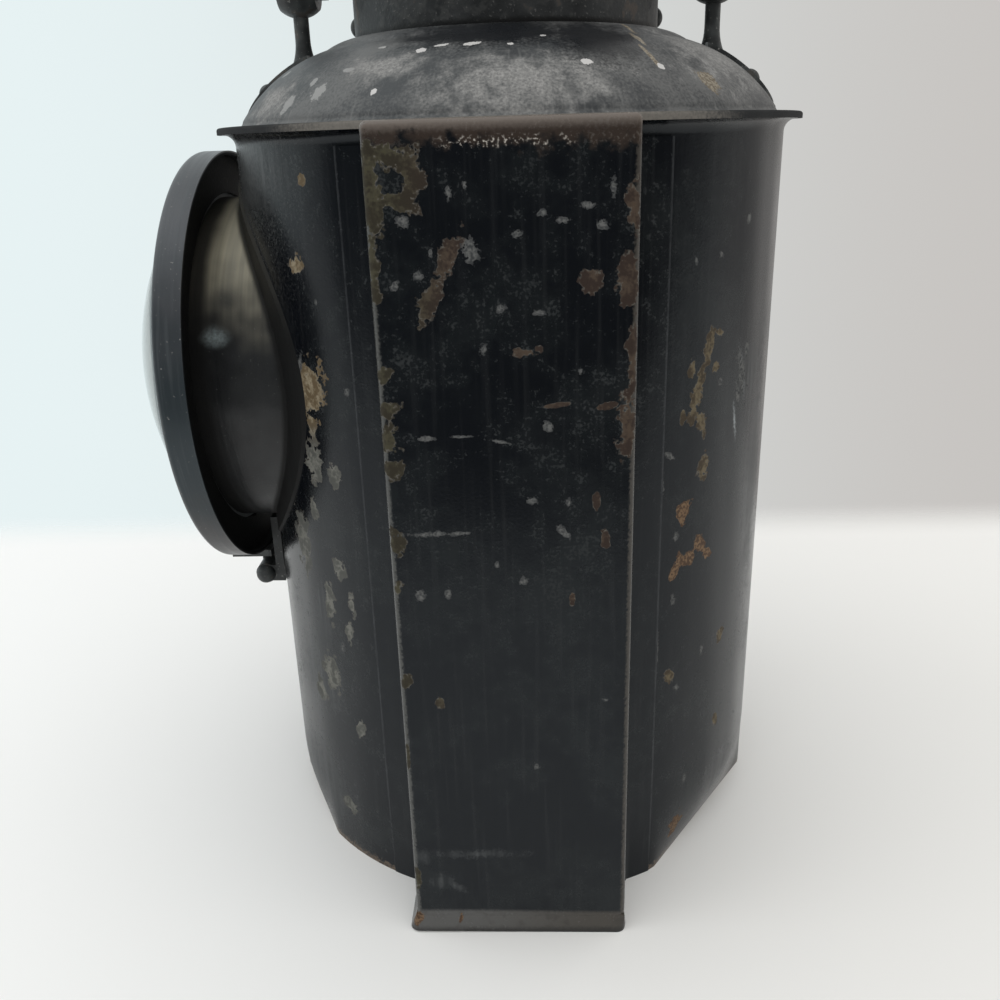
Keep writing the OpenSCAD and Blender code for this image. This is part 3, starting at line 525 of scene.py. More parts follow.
# The head's upper edges are rounded over at the front and the sides
bpy.ops.object.mode_set(mode="EDIT")
bpy.ops.mesh.select_all(action="DESELECT")
bpy.ops.object.mode_set(mode="OBJECT")
for vertex in socket_head.data.vertices:
    x, y, z = vertex.co / mm
    vertex.select = z > socket_top - 0.1 and (abs(x) > socket_half - 0.01 or y < -head_r - 1)
bpy.ops.object.mode_set(mode="EDIT")
bpy.ops.mesh.bevel(offset=head_bend * mm, segments=5, affect="EDGES")
bpy.ops.object.mode_set(mode="OBJECT")

hem_gap = 0.02
hem = risen("socket_hem", channel(sheet, -case_r - sheet), hem_levels)
altered(hem, "SOLIDIFY", thickness=(sheet - hem_gap) * mm, offset=-1)

active(socket)
socket_head.select_set(True)
hem.select_set(True)
bpy.ops.object.join()

# The flanges are hammered thin at their feet and the hem flat at its top. The foot leans to the left at both
# corners, and its edge is pushed up left of the middle.
thinned_h, thinned = 30, 0.75
flattened_from, flattened = 1, 1.06
lean_h, lean_right, lean_left = 9, 0.6, 1.1
push_h, push_x, push_wide, push = 14, -14, 15, 1.5
for vertex in socket.data.vertices:
    x, y, z = vertex.co / mm
    round_r = sqrt(x * x + y * y)
    if abs(x) > socket_half + 2 and z < thinned_h and round_r > case_r + 0.2:
        share = 1 - thinned * (1 - z / thinned_h) * (round_r - case_r) / round_r
        vertex.co.x *= share
        vertex.co.y *= share
    if y < -case_r - sheet and z < push_h:
        proud_side, proud_front = max(abs(x) - socket_half, 0), max(socket_face - y, 0)
        if max(proud_side, proud_front) > 0.1:
            share = flattened * min(max((z - flattened_from) / (hem_top - flattened_from), 0), 1)
            vertex.co.x -= share * proud_side * (1 if x > 0 else -1) * mm
            vertex.co.y += share * proud_front * mm
        low = max(0, 1 - z / lean_h) ** 2
        lean = lean_right * max(x / socket_half, 0) ** 3 + lean_left * max(-x / socket_half, 0) ** 3
        vertex.co.x -= lean * low * mm
        vertex.co.z += push * exp(-((x - push_x) / push_wide) ** 2) * max(0, 1 - z / push_h) * mm


def socket_front(place):
    """The socket's face laid flat, with its sides unfolded beside it."""
    x, y, z = axes(place)
    return x + x.math("SIGN", x) * (y - socket_face), z


def socket_wear_and_shade(place, fine):
    """Bare metal along the folds, rust and dust on the head, grey metal on the hem and painted shade along
    its lower edge.
    """
    x, y, z = axes(place)
    rough = (fine - 0.5) * 1.2
    fold = ease(x.math("ABSOLUTE", x) - y + rough, fold_reach - 1.6, fold_reach - 1.1)
    patchy = grain(place, 4, 12, 2.0)
    lifted = z + rough * 2 + (patchy - 0.5) * 14 - ease(0 - x, -12, 16) * 1.4
    head = ease(lifted, 211.8, 215.4) * ease(0 - y, 81.5, 83)
    flecks = ease(z + rough, 213, 214.4) * (1 - ease(z + rough, 215.4, 216.6)) * ease(0 - y, 85, 90)
    flecks = flecks * ease(x, -16, -8) * (1 - ease(x, 8, 20) * 0.9)
    flecks = flecks * ease(fine, 0.52, 0.66) * ease(patchy, 0.4, 0.5)
    hem_line = ease(x.math("ABSOLUTE", x) + rough * 0.4, flange_half - 0.7, flange_half - 0.3)
    foot = (1 - ease(z + rough * 0.8 - ease(0 - x, -30, 20) * 0.8, 5.8, 7.4)) * ease(0 - y, 86, 90)
    return [(fold, mixed(ease(x, -20, 20), (0.06, 0.06, 0.056), (0.045, 0.04, 0.034))),
            (head * 0.9, mixed(ease(z + rough, 216.4, 219.2), (0.036, 0.025, 0.019), (0.15, 0.125, 0.108))),
            (flecks * 0.9, (0.4, 0.37, 0.33)),
            (hem_line * patchy * 0.9, (0.045, 0.047, 0.05)),
            (foot, mixed(ease(x + rough * 6, -18, 26), (0.08, 0.078, 0.075), (0.056, 0.05, 0.043))),
            (foot * ease(patchy, 0.5, 0.7) * 0.5, (0.035, 0.031, 0.027)),
            # Painted shade along the bottom of the hem, where it meets the table.
            (foot * (1 - ease(z + rough, 0.6, 2.6)) * 0.8, (0.018, 0.017, 0.016))]


def socket_specks(place):
    """Small chips lie thick on the upper part of the socket's face and thin out below."""
    return 0.15 + ease(axes(place)[2], 70, 150) * 0.85


def olive_to_red(place):
    """The tones of the socket's undercoat, olive on the left and redder on the right."""
    side = ease(axes(place)[0], -25, -10)
    return (mixed(side, (0.026, 0.02, 0.01), (0.03, 0.017, 0.011)),
            mixed(side, (0.05, 0.044, 0.024), (0.06, 0.04, 0.026)))


socket_enamel = worn_enamel(
    "socket_enamel", socket_front,
    flakes=[(-28.6, 206, 3.6, 10, 0), (-24, 213, 4, 2.2, 0), (-19.5, 209, 2.6, 5, 0),
            (-23, 203, 4, 2, 20), (-29.4, 190, 1.8, 9, 0), (-12.5, 190.5, 2, 5, 24),
            (-17, 181.5, 2, 6, 24), (19.5, 185.5, 1.9, 3.2, 0), (4, 169.5, 3.2, 1.3, 0),
            (28.6, 201, 2.2, 5.5, 0), (27.8, 185, 3, 5, 0), (29.2, 168, 1.6, 8, 0),
            (28.2, 152, 2.6, 8, 0), (-28.6, 165, 2.2, 2.4, 0), (-28.4, 157, 2.6, 2, 0),
            (-28.4, 149, 2.6, 3.4, 0), (-28, 142, 3.2, 2, 0), (-28.4, 123, 2.4, 3, 0),
            (-29, 110, 1.6, 2.6, 0), (-28.4, 83.5, 1.6, 2, 0), (-29.6, 61, 0.9, 4.5, 0),
            (-29.2, 19, 1.4, 4, 0), (11, 157, 5, 0.6, -8), (23, 156.5, 2.8, 0.7, -10),
            (23, 123, 1.2, 2, 0), (21, 133, 0.8, 1.8, 0), (-19.5, 77.5, 1.2, 2.2, 0),
            (15, 107.5, 0.8, 1.8, 0)],
    rust=[(-29.8, 4.5, 1.8, 2, 0), (-17, 4.6, 0.7, 1.8, 0)],
    pale=[(-7, 192, 1.8, 2, 0), (-1, 179.5, 1, 1.3, 0), (8, 178.5, 1.2, 0.6, 0), (-5, 170.5, 0.8, 1.1, 0),
          (-22, 199, 1.2, 1.3, 0), (-19, 187, 1.1, 1.3, 0), (-24.5, 185, 0.9, 0.9, 0),
          (3, 195.5, 1.3, 0.8, 0), (8.5, 200, 1, 0.7, 0), (13, 198.3, 1.6, 0.6, 0),
          (18.4, 201.3, 1.6, 0.6, 0), (21.5, 197, 1.1, 0.9, 0), (24, 205, 0.8, 2, 0),
          (-19.5, 149.5, 1.6, 0.5, 0), (-11, 149.8, 2.4, 0.4, 0), (-1.5, 148.3, 3.2, 0.4, 12),
          (-21, 125, 5, 0.6, 0), (-12, 125.2, 2, 0.4, 0), (9.5, 152, 0.9, 1, 0),
          (5.8, 133.5, 1.1, 0.9, 0), (14.2, 132.6, 0.9, 0.9, 0), (13, 125, 0.7, 1.8, -40),
          (3, 112, 0.9, 1.2, 0), (-16, 109, 0.7, 1.1, 0), (-23, 108.5, 1, 1.2, 0),
          (23.5, 77.5, 1.1, 0.6, 0), (5.5, 57, 0.9, 1.2, 0), (-3.5, 116.5, 0.6, 0.8, 0),
          (-11.5, 205, 0.6, 1.4, 0), (-8, 206, 0.5, 1, 0), (-16, 192, 0.5, 1.2, 0), (17, 165, 0.6, 0.8, 0)],
    rubbed=[(-12, 27.5, 12, 1.4, 0), (-27, 26.5, 2, 2, 0), (-22, 18, 3, 2.4, 0), (-18, 16, 3, 1, 35)],
    wear_and_painted_light=socket_wear_and_shade, undercoat=olive_to_red, specks=socket_specks)
fitted(socket, socket_enamel, "case", "case_paint", "socket")

# Lens neck
# A short tube of sheet with its inner end flanged to a saddle and soldered round the hole in the wall.
# Its top is painted a lighter brown as a sheen of the light from above, and the end under the ring and the
# root by the wall are painted near black as shade.


def neck_finish():
    """Black enamel with a painted brownish sheen on top, faint bands round the tube, a painted highlight on
    its near side, and painted shade under the ring and by the wall.
    """
    material, shader, place = finish_of("neck_enamel")
    x, y, z = axes(place)
    fine = grain(place, 0.9, 31, 2.0)
    clouds = grain(place, 14, 32, 2.0)
    bands = grain(joined(x / 1.5, y / 40, z / 40), 1, 33, 1.0)
    # Painted shade: the end of the tube under the ring and its root by the wall go near black.
    shade_under_ring = ease(0 - x + (clouds - 0.5) * 3, 81.5, 86)
    shade_by_wall = 1 - ease((x * x + y * y) * 0.01, 66, 68.5)
    painted_shade = either(shade_under_ring, shade_by_wall)
    # Painted sheen: the top is painted a lighter brown, as lit from above.
    browned = ease(z + (clouds - 0.5) * 24, 164, 188)
    # Painted highlight on the near side.
    sheen = 1 - ease(reach_of(joined(x, 0, z), [(-81.5, 166, 4.5, 2.6, 0)]) + (clouds - 0.5) * 2, 0, 1.3)
    chipped = ease(fine, 0.69, 0.74)
    colour = mixed(ease(clouds, 0.35, 0.7), (0.007, 0.0075, 0.0085), (0.018, 0.019, 0.02))
    colour = mixed(browned * (0.8 + (bands - 0.5) * 0.8), colour, (0.3, 0.275, 0.2))
    colour = mixed(chipped * 0.4, colour, (0.12, 0.12, 0.115))
    colour = mixed(painted_shade * 0.92, colour, (0.002, 0.002, 0.002))
    colour = mixed(sheen * (0.7 + (fine - 0.5) * 1.5), colour, (0.16, 0.195, 0.2))
    roughness = 0.36 + (bands - 0.5) * 0.2 + painted_shade * 0.4 + chipped * 0.3
    finished(shader, colour, roughness, fine * 0.2 + bands * 0.3 + clouds, 0.2, Specular_IOR_Level=0.4)
    return material


dress(neck_finish(), "lens_neck")

# Dome
# A spun steel dome whose edge is turned down over the wall's turned-out top. Its shoulder is grey with dust
# under a painted sheen, the crown has kept some gloss, chips show the pale primer, and a painted shade
# darkens it at the collar's foot.

seam_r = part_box("dome_top")[1].x / mm
seam_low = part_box("dome_top")[0].z / mm
seam_top = 219.9
seam_bend = 0.8
seam_in_r = 78.9
dome_foot = Vector((77.3, 221.5))
crown_foot = Vector((52.7, 239.2))
crown_edge = Vector((43.9, 242.2))
foot_round_r, dome_round_r, crown_round_r = 1.76, 45.6, 18
upstand_r = 42.6
upstand_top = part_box("dome_top")[1].z / mm


def arc(start, end, radius, steps=16):
    """An arc between two points, round to the right of the way, or to the left for a radius below zero."""
    way = end - start
    side = Vector((way.y, -way.x)).normalized() * (1 if radius > 0 else -1)
    middle = (start + end) / 2 - side * sqrt(radius ** 2 - way.length_squared / 4)
    sweep = 2 * asin(way.length / 2 / radius)
    return [middle + Matrix.Rotation(sweep * i / steps, 2) @ (start - middle) for i in range(steps + 1)]


dome_line = rounded((seam_r, seam_low, 0), (seam_r, seam_top, seam_bend), (seam_in_r, seam_top, 0))
dome_line += arc(Vector((seam_in_r, seam_top)), dome_foot, -foot_round_r, 6)[1:]
dome_line += arc(dome_foot, crown_foot, dome_round_r, 28)[1:]
dome_line += arc(crown_foot, crown_edge, crown_round_r, 8)[1:]
dome_line += [Vector((upstand_r, crown_edge.y)), Vector((upstand_r, upstand_top))]
dome = altered(spun("dome", dome_line), "SOLIDIFY", thickness=sheet * mm, offset=-1)


def apart(one_way, other_way):
    """The distance that two ways at right angles make."""
    square = one_way * one_way + other_way * other_way
    return square.math("SQRT", square)


def dome_finish():
    """Dusty enamel with a painted sheen: palest over the socket, black gloss on the crown, chips, a dark seam
    and painted shade at the collar's foot.
    """
    material, shader, place = finish_of("dome_enamel")
    x, y, z = axes(place)
    out = apart(x, y)
    turn = x.math("ARCTAN2", x, 0 - y) * (180 / pi)
    flat = joined(turn, 0, out)
    fine = grain(place, 0.7, 42, 2.0)
    mid = grain(place, 4, 43, 2.0)
    clouds = grain(place, 18, 44, 2.0)
    scratches = ease(grain(joined(turn / 0.9, 0, out / 9), 1, 45, 1.0), 0.58, 0.74)
    ragged = (fine - 0.5) * 1.2 + (mid - 0.5) * 1.6
    # Dust and painted sheen: the pale zone over the socket is dust with a painted sheen on it, and the spot
    # left of the crown at (-24, 67) is a painted sheen alone.
    dusty = reach_of(flat, [(4, 72, 18, 7, 0), (-55, 74, 9, 5, 0), (60, 63, 20, 13, 0), (-24, 67, 9, 4, 0)])
    pale = 1 - ease(dusty + (mid - 0.5) * 2.4, 0.1, 1.4)
    kept = reach_of(flat, [(-2, 53, 30, 9, 0), (23, 57, 14, 12, 8), (150, 58, 30, 8, 0)])
    gloss = 1 - ease(kept + ragged * 0.5, 0.5, 1.25)
    chips = marks(flat, ragged, [
        (-6.5, 60, 2, 0.7, 10), (-13.5, 60, 1.8, 0.6, 10), (-18, 62, 1, 1, 0), (-30, 59, 1.2, 0.6, 0),
        (-24, 73.5, 0.8, 0.8, 0), (-38, 73, 1.8, 1.8, 0), (-34, 67.5, 1.6, 0.6, 0), (-42, 70, 1, 1.2, 0),
        (-46, 75, 1.4, 1.6, 0), (17, 68, 1.2, 0.7, 0), (2, 61, 0.8, 0.6, 0), (10, 56.5, 0.8, 0.6, 0),
        (33, 69.5, 0.8, 0.8, 0), (-62, 66, 1.4, 1, 0), (71, 63, 1.4, 0.9, 0), (120, 66, 2, 1.4, 0),
        (-140, 60, 2, 1.4, 0)])
    flakes = marks(flat, ragged, [
        (43.5, 72.5, 2.2, 2.6, 0), (32.5, 66, 0.7, 4, 0), (35, 58, 0.8, 4, -12), (39, 50, 0.9, 4, -12),
        (96, 70, 4, 3, 0), (-108, 72, 5, 2, 0)])
    seam = ease(out + (fine - 0.5), 79.6, 81.6)
    over_socket = ease(y + 85 - x * x * 0.006 + (fine - 0.5) * 3, 3, 0)
    # Painted shade where the dome meets the collar.
    collar_foot_shade = 1 - ease(out + (fine - 0.5) * 0.8, 44.4, 46)
    cloudy = ease(clouds + (fine - 0.5) * 0.5 + (mid - 0.5) * 0.2, 0.34, 0.7)
    flake_tone = mixed(ease(fine, 0.4, 0.6), (0.12, 0.098, 0.07), (0.25, 0.22, 0.17))
    chip_tone = mixed(ease(turn, -33, -24), (0.24, 0.24, 0.235), (0.5, 0.49, 0.48))
    colour = mixed(cloudy, (0.045, 0.048, 0.051), (0.115, 0.116, 0.115))
    colour = mixed(scratches * 0.2, colour, (0.22, 0.22, 0.215))
    colour = mixed(pale * (0.6 + (fine - 0.5) * 1.4), colour, (0.3, 0.295, 0.285))
    colour = mixed(gloss * 0.93, colour, (0.008, 0.009, 0.011))
    colour = mixed(seam * 0.9, colour, mixed(over_socket, (0.014, 0.015, 0.016), (0.15, 0.138, 0.122)))
    colour = mixed(flakes, colour, flake_tone)
    colour = mixed(chips, colour, chip_tone)
    colour = mixed(collar_foot_shade, colour, (0.003, 0.003, 0.003))
    roughness = 0.52 - gloss * 0.24 + pale * 0.2 + (clouds - 0.5) * 0.2 + seam * 0.4
    finished(shader, colour, roughness, fine * 0.3 + clouds * 1.4, 0.22, Specular_IOR_Level=0.28)
    return material


fitted(dome, dome_finish(), "case", "top_paint", "dome_top")

# Ventilator collar and its rivets
# A rolled tube slipped over the dome's upstand and held by a round-headed rivet on each side. Heat has
# left its enamel rough and grey.


def scorched_finish():
    """Enamel roughened by heat, with scabs, dust on top and painted shade at the collar's foot."""
    material, shader, place = finish_of("scorched_enamel")
    fine = grain(place, 0.8, 51, 2.0)
    mid = grain(place, 3, 52, 2.0)
    clouds = grain(place, 10, 53, 2.0)
    x, y, z = axes(place)
    dusty = ease(z + (clouds - 0.5) * 12, 268, 298)
    # Painted shade: the collar's foot, where it meets the dome, goes near black.
    foot = 1 - ease(z + (fine - 0.5) * 0.8, crown_edge.y + 0.4, crown_edge.y + 1.8)
    colour = mixed(ease(clouds, 0.35, 0.65), (0.011, 0.0125, 0.0135), (0.024, 0.026, 0.027))
    colour = mixed(ease(mid, 0.48, 0.66) * 0.5, colour, (0.045, 0.046, 0.044))
    colour = mixed(ease(fine, 0.62, 0.72) * 0.5, colour, (0.12, 0.118, 0.112))
    colour = mixed(dusty * (0.35 + ease(fine, 0.4, 0.65) * 0.35), colour, (0.2, 0.196, 0.19))
    colour = mixed(ease(clouds + (mid - 0.5) * 0.6, 0.64, 0.72) * 0.5, colour, (0.07, 0.05, 0.036))
    colour = mixed(foot, colour, (0.003, 0.003, 0.003))
    roughness = 0.5 + (clouds - 0.5) * 0.3 + dusty * 0.12
    finished(shader, colour, roughness, mid * 0.7 + fine * 0.3 + clouds, 0.3, Specular_IOR_Level=0.45)
    return material


def iron_finish():
    """Forged iron, painted once and rubbed since, with hammer marks and a little rust in the hollows."""
    material, shader, place = finish_of("forged_iron")
    fine = grain(place, 0.8, 61, 2.0)
    hammered = grain(place, 5, 63, 1.0)
    rust = ease(hammered + (fine - 0.5) * 0.5, 0.6, 0.72)
    colour = mixed(ease(hammered, 0.35, 0.65), (0.02, 0.0225, 0.023), (0.055, 0.061, 0.061))
    colour = mixed(rust * 0.35, colour, (0.09, 0.062, 0.042))
    colour = mixed(ease(fine, 0.64, 0.72), colour, (0.15, 0.15, 0.142))
    finished(shader, colour, 0.46 + (fine - 0.5) * 0.3 + rust * 0.2, hammered + fine * 0.25, 0.35)
    return material


scorched_enamel = scorched_finish()
forged_iron = iron_finish()
dress(scorched_enamel, "vent_collar")
dress(forged_iron, "collar_rivets")

# Ears
# Two forged ears, each a strap that follows the dome with a stem and a bored boss for the bail, held by
# one rivet through the strap.

dress(forged_iron, "ear_left", "ear_right", "ear_rivets")

# Reflector and its bracket
# A dished and silvered plate behind the flame, on a turned stud whose foot is soldered to the wall.
# The silver has yellowed a little towards its rim.

reflector_low, reflector_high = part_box("reflector")
mouth_reach = -reflector_low.x / mm
back_reach = -reflector_high.x / mm + sheet
rim_r = reflector_high.y / mm
mouth_r = rim_r - 3
dish_r = 70


def silver_finish():
    """Silvering with fine polishing rings and tarnish at the rim."""
    material, shader, place = finish_of("silvering")
    x, y, z = axes(place)
    out = apart(y, z - lens_z)
    tarnish = ease(out + (grain(place, 10, 71) - 0.5) * 24, 22, 40)
    rings = grain(joined(out / 0.4, 0, 0), 1, 72)
    colour = mixed(tarnish * 0.7, (0.84, 0.84, 0.82), (0.5, 0.44, 0.34))
    finished(shader, colour, 0.1 + tarnish * 0.22 + rings * 0.06, rings, 0.01, Metallic=1.0)
    return material


dish_line = [Vector((rim_r, mouth_reach))]
dish_line += arc(Vector((mouth_r, mouth_reach)), Vector((0, back_reach)), -dish_r, 24)
reflector = altered(spun("reflector_dish", dish_line, True), "SOLIDIFY", thickness=sheet * mm, offset=1)
fitted(reflector, silver_finish(), "case", "silvered", "reflector")
dress(forged_iron, "reflector_bracket")

# Lens ring
# A spun ring with its front lip turned in over the glass, hinged at the bottom on forged leaves and
# closing over the end of the neck. Its enamel is worn to a dark satin with fine marks round it.

ring_low, ring_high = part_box("lens_ring")
ring_r = ring_high.y / mm
ring_back, ring_front = -ring_high.x / mm, -ring_low.x / mm
ring_sheet = 1.2
lip_r = 58
lip_bend = 1.8


def ring_finish():
    """Satin enamel with fine marks round the ring, paler on top, and painted shade on its inside."""
    material, shader, place = finish_of("ring_enamel")
    x, y, z = axes(place)
    out = apart(y, z - lens_z)
    turn = y.math("ARCTAN2", y, z - lens_z) * ring_r
    marks_round = grain(joined(turn / 30, out / 1.2, x / 1.2), 1, 81, 2.0)
    fine = grain(place, 0.9, 82, 2.0)
    clouds = grain(place, 14, 83, 2.0)
    upper = z - lens_z + (clouds - 0.5) * 40
    edge = ease(out + (fine - 0.5) * 1.6, ring_r - 0.4, ring_r + 0.2)
    edge = edge * ease(0 - x, ring_front - 1.2, ring_front - 0.4)
    behind_lip = 1 - ease(0 - x, ring_front - 1, ring_front - 0.6)
    # Painted shade: the ring's inside behind the lip goes near black.
    inside = (1 - ease(out, ring_r - 0.7, ring_r - 0.3)) * behind_lip
    chips = ease(fine, 0.7, 0.75)
    colour = mixed(ease(upper, 0, 55), (0.02, 0.026, 0.03), (0.056, 0.055, 0.06))
    colour = mixed(ease(0 - upper, 20, 55), colour, (0.03, 0.026, 0.026))
    colour = mixed(ease(marks_round, 0.5, 0.75) * 0.35, colour, (0.07, 0.078, 0.084))
    colour = mixed(edge * 0.6, colour, (0.14, 0.135, 0.125))
    colour = mixed(chips * 0.7, colour, (0.22, 0.215, 0.205))
    colour = mixed(inside, colour, (0.002, 0.002, 0.002))
    roughness = 0.36 + (marks_round - 0.5) * 0.3 + chips * 0.3 + inside * 0.4
    finished(shader, colour, roughness, marks_round * 0.25 + clouds + fine * 0.1, 0.2,
             Specular_IOR_Level=0.4, Specular_Tint=(0.87, 0.96, 1, 1))
    return material


ring_enamel = ring_finish()
ring_line = rounded((ring_r, ring_back, 0), (ring_r, ring_front, lip_bend), (lip_r, ring_front, 0), steps=8)
lens_ring = altered(spun("ring", ring_line, True), "SOLIDIFY", thickness=ring_sheet * mm, offset=-1)
fitted(lens_ring, ring_enamel, "lens_door", "ring_paint", "lens_ring")
dress(forged_iron, "ring_hinge_bracket", "ring_hinge_pin", "ring_hinge_leaf")

# Lens glass, its gasket and the plate behind it
# A bull's-eye of pressed glass, flat behind and strongly rounded in front, held between a rubber gasket
# and a plate ring that springs into the back of the lens ring.

glass_low, glass_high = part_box("lens_glass")
glass_back, glass_apex = -glass_high.x / mm, -glass_low.x / mm
glass_r = glass_high.y / mm
glass_shoulder = glass_back + 2.8
glass_round_r = lip_r - 0.7


def lens_finish():
    """Old pressed glass with a grey-green cast, dusty towards its rim and sooty behind the ring's lip."""
    material, shader, place = finish_of("lens_glass_clear")
    x, y, z = axes(place)
    out = apart(y, z - lens_z)
    clouds = grain(place, 9, 91)
    dusty = ease(out + (clouds - 0.5) * 22, 44, 60)
    sooty = ease(out, 46, 50) * (1 - ease(0 - x, glass_back + 0.5, glass_back + 0.8))
    colour = mixed(dusty, (0.56, 0.62, 0.62), (0.42, 0.47, 0.47))
    colour = mixed(sooty, colour, (0.004, 0.004, 0.004))
    waves = grain(place, 18, 92, 1.0)
    finished(shader, colour, 0.015 + dusty * 0.2 + sooty * 0.5, waves, 0.05, Transmission_Weight=1.0, IOR=1.5)
    return material


def rubber_finish():
    """Old rubber, dull and finely cracked."""
    material, shader, place = finish_of("gasket_rubber")
    fine = grain(place, 0.7, 93)
    colour = mixed(ease(fine, 0.4, 0.65), (0.016, 0.015, 0.014), (0.045, 0.041, 0.036))
    finished(shader, colour, 0.7 + (fine - 0.5) * 0.3, fine, 0.12)
    return material


def soot_finish():
    """Flat black soot on the plate behind the glass."""
    material, shader, place = finish_of("sooty_enamel")
    fine = grain(place, 0.9, 94, 2.0)
    colour = mixed(ease(fine, 0.5, 0.75), (0.002, 0.002, 0.002), (0.012, 0.012, 0.012))
    finished(shader, colour, 0.75 + (fine - 0.5) * 0.3, fine, 0.1, Specular_IOR_Level=0.3)
    return material


glass_ball = (glass_round_r ** 2 + (glass_apex - glass_shoulder) ** 2) / 2 / (glass_apex - glass_shoulder)
glass_line = rounded((0, glass_back, 0), (glass_r, glass_back, 0.4), (glass_r, glass_shoulder, 0.4),
                     (glass_round_r, glass_shoulder, 0), steps=3)
glass_line += arc(Vector((glass_round_r, glass_shoulder)), Vector((0, glass_apex)), glass_ball, 40)[1:]
fitted(spun("bulls_eye", glass_line, True), lens_finish(), "lens_door", "lens", "lens_glass")
dress(rubber_finish(), "lens_gasket")
dress(soot_finish(), "lens_retainer")

# Vent top
# A spun lid with a vented stack and a lifting tab, under a spun rain cap, tipping back on a hinge at the
# rear of the collar. Dust lies on the cap, and heat has roughened the stack.

cap_low, cap_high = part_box("vent_cap")
cap_r = cap_high.x / mm
cap_hem_z, cap_top_z = cap_low.z / mm, cap_high.z / mm
cap_seat_z = cap_top_z - 10
cap_hem_h = 2.5
cap_shoulder, cap_shoulder_bend = 3.5, 3.6
cap_crown_r, cap_crown_bend = 29, 48
cap_line = [Vector((cap_r, cap_hem_z))]
cap_line += arc(Vector((cap_r, cap_hem_z + cap_hem_h)), Vector((cap_r - cap_shoulder, cap_seat_z)),
                cap_shoulder_bend, 8)
cap_line += arc(Vector((cap_crown_r, cap_seat_z)), Vector((0, cap_top_z)), cap_crown_bend, 24)
rain_cap = altered(spun("rain_cap", cap_line), "SOLIDIFY", thickness=sheet * mm, offset=-1)
fitted(rain_cap, scorched_enamel, "vent_top", "top_paint", "vent_cap")
dress(scorched_enamel, "vent_lid")
dress(forged_iron, "vent_hinge_bracket", "vent_hinge_pin", "vent_hinge_leaf")

# Bail
# A bent iron rod, its ends turned in through the ears and headed over, rubbed bright where a hand or a
# hook carries the lamp.

dress(forged_iron, "bail")

# Oil fount, burner and wick
# A spun tinned fount with a soldered filler, under a brass burner: a deck, a flat tube, a dome with the
# flame slot and a winder with toothed wheels. The wick is woven cotton, charred at its top.


def brass_finish():
    """Brass browned by heat, with brighter rubbed places."""
    material, shader, place = finish_of("tarnished_brass")
    fine = grain(place, 1, 101)
    clouds = grain(place, 6, 102)
    rubbed = ease(clouds + (fine - 0.5) * 0.4, 0.5, 0.65)
    colour = mixed(rubbed, (0.2, 0.13, 0.055), (0.5, 0.36, 0.15))
    colour = mixed(ease(fine, 0.66, 0.74), colour, (0.07, 0.05, 0.03))
    finished(shader, colour, 0.42 - rubbed * 0.16 + (fine - 0.5) * 0.2, fine + clouds, 0.06, Metallic=1.0)
    return material


def cotton_finish():
    """Woven cotton tape, oily below and charred on top."""
    material, shader, place = finish_of("wick_cotton")
    x, y, z = axes(place)
    warp, weft = y * (2 * pi / 1.2), z * (2 * pi / 1.6)
    weave = warp.math("SINE", warp) * weft.math("SINE", weft)
    charred = ease(z + (grain(place, 2, 111) - 0.5) * 4, 137.5, 140)
    colour = mixed(weave * 0.5 + 0.5, (0.42, 0.35, 0.24), (0.66, 0.58, 0.43))
    colour = mixed(charred, colour, (0.012, 0.011, 0.01))
    finished(shader, colour, 0.85 + charred * 0.1, weave, 0.2)
    return material


brass = brass_finish()
dress(tinplate, "fount")
dress(brass, "burner_base", "wick_tube", "burner_dome", "filler_cap", "wick_winder")
dress(cotton_finish(), "wick")

# Studio
# A plain pale table that fades into an even backdrop, cool and bright on the left, warmer and dimmer on
# the right, lit from above, with a large soft lamp at the upper left and a darker room behind the camera.

table_size = 6
far_fade, near_fade = (190, 245), (-430, -330)
bpy.ops.object.select_all(action="DESELECT")
bpy.ops.mesh.primitive_plane_add(size=table_size, location=(0, 0, 0))
table = bpy.context.object
table.name = "table"
table_paint, table_shader, table_place = finish_of("table_paint")
table_x, table_y = axes(table_place)[:2]
table_grain = grain(table_place, 60, 121)
finished(table_shader, mixed(ease(table_x, -260, 260), (0.85, 0.855, 0.85), (0.83, 0.82, 0.8)),
         0.55 + (table_grain - 0.5) * 0.1, table_grain, 0.02)
table_tree = table_paint.node_tree
open_end = Wire(table_tree).node("ShaderNodeBsdfTransparent", {}, {})
past_edge = either(ease(table_y, *far_fade), 1 - ease(table_y, *near_fade))
painted = Wire(table_tree, table_shader.outputs[0])
faded = open_end.node("ShaderNodeMixShader", {}, {0: past_edge, 1: painted, 2: open_end})
table_tree.links.new(faded.socket, table_tree.nodes["Material Output"].inputs["Surface"])
table.data.materials.append(table_paint)

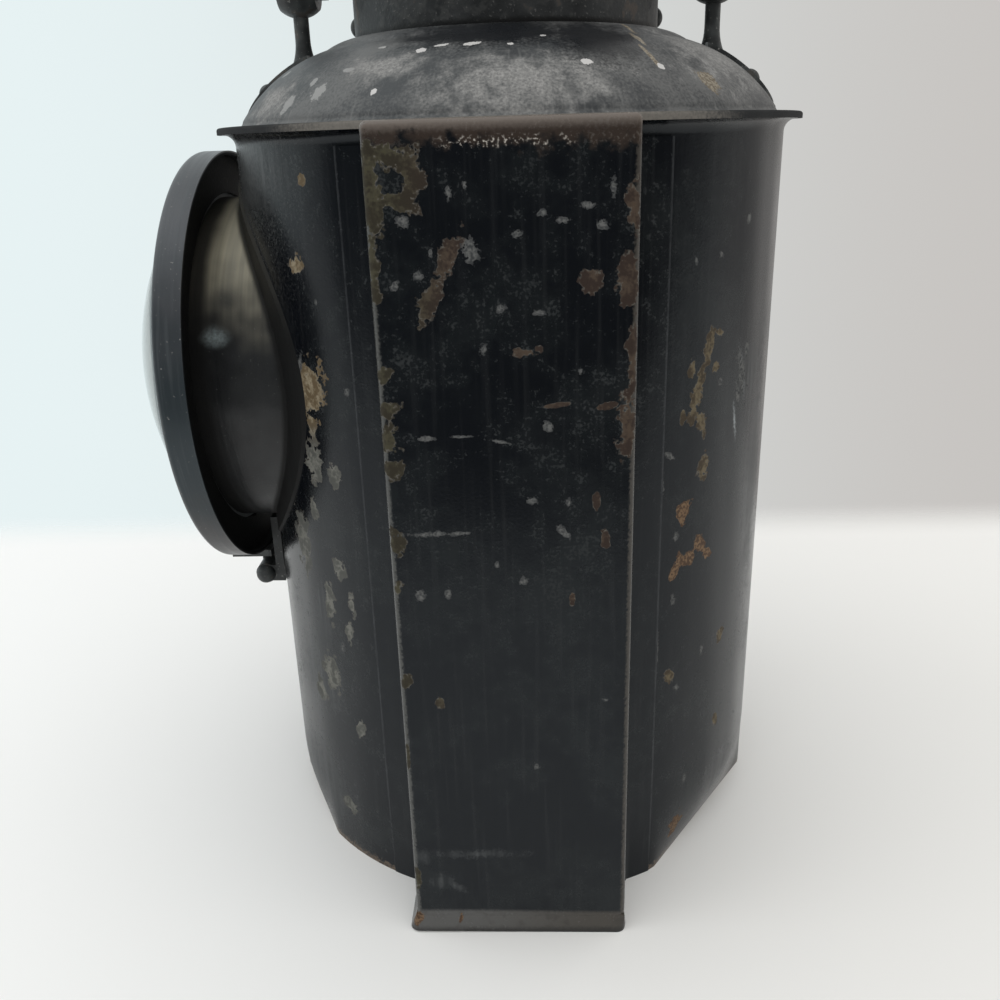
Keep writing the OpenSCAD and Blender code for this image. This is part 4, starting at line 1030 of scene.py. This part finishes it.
scene = bpy.context.scene
scene.view_settings.view_transform = "Standard"
scene.world = bpy.data.worlds.new("studio")
scene.world.use_nodes = True
studio = scene.world.node_tree
studio.nodes.clear()
look = Wire(studio).node("ShaderNodeTexCoord", {}, {}, "Generated")
look_x, look_y, look_z = axes(look)
backdrop = mixed(ease(look_x, -0.5, 0.5), (0.8, 0.89, 0.9), (0.57, 0.55, 0.53))
dark_room = ease(0 - look_y, -0.3, 0.4) * (1 - ease(look_z, 0.55, 0.95))
mirrored = mixed(dark_room * 0.88, backdrop, (0.02, 0.022, 0.025))
daylight = mixed(ease(look_x, -0.9, 0.9), (0.68, 0.71, 0.73), (0.6, 0.59, 0.57))
daylight = mixed(ease(look_z - look_y * 0.45, 0.1, 0.95), daylight, (1.3, 1.3, 1.28))
path = look.node("ShaderNodeLightPath", {}, {}, "Is Camera Ray")
seen = {socket.name: Wire(studio, socket) for socket in path.socket.node.outputs}
shiny = either(seen["Is Glossy Ray"], seen["Is Transmission Ray"])
sky = mixed(seen["Is Camera Ray"], mixed(shiny, daylight, mirrored), backdrop)
glow = sky.node("ShaderNodeBackground", {}, {"Color": sky, "Strength": 1.0})
studio_out = studio.nodes.new("ShaderNodeOutputWorld")
studio.links.new(glow.socket, studio_out.inputs["Surface"])

soft_box = bpy.data.objects.new("soft_box", bpy.data.lights.new("soft_box", "AREA"))
soft_box.data.shape = "RECTANGLE"
soft_box.data.size, soft_box.data.size_y = 0.7, 0.7
soft_box.data.energy = 1.4
soft_box.data.color = (0.97, 0.99, 1)
soft_box.location = (-0.65, -0.1, 0.95)
soft_box.rotation_euler = (Vector((0, 0, 0.1)) - soft_box.location).to_track_quat("-Z", "Y").to_euler()
scene.collection.objects.link(soft_box)

# The camera stands a little to the right, looks down at the lamp, and is tipped slightly to one side
camera = bpy.data.objects.new("camera", bpy.data.cameras.new("camera"))
camera.data.lens = 34.364
camera.data.sensor_width = 36
camera.data.clip_start = 0.01
camera_turn = Matrix.Rotation(radians(2.13), 3, "Z")
camera_dip = Matrix.Rotation(radians(90 - 20.79), 3, "X")
camera_tip = Matrix.Rotation(radians(-1.72), 3, "Z")
camera.location = Vector((5.65, -308.52, 215.39)) * mm
camera.rotation_euler = (camera_turn @ camera_dip @ camera_tip).to_euler()
scene.collection.objects.link(camera)
scene.camera = camera
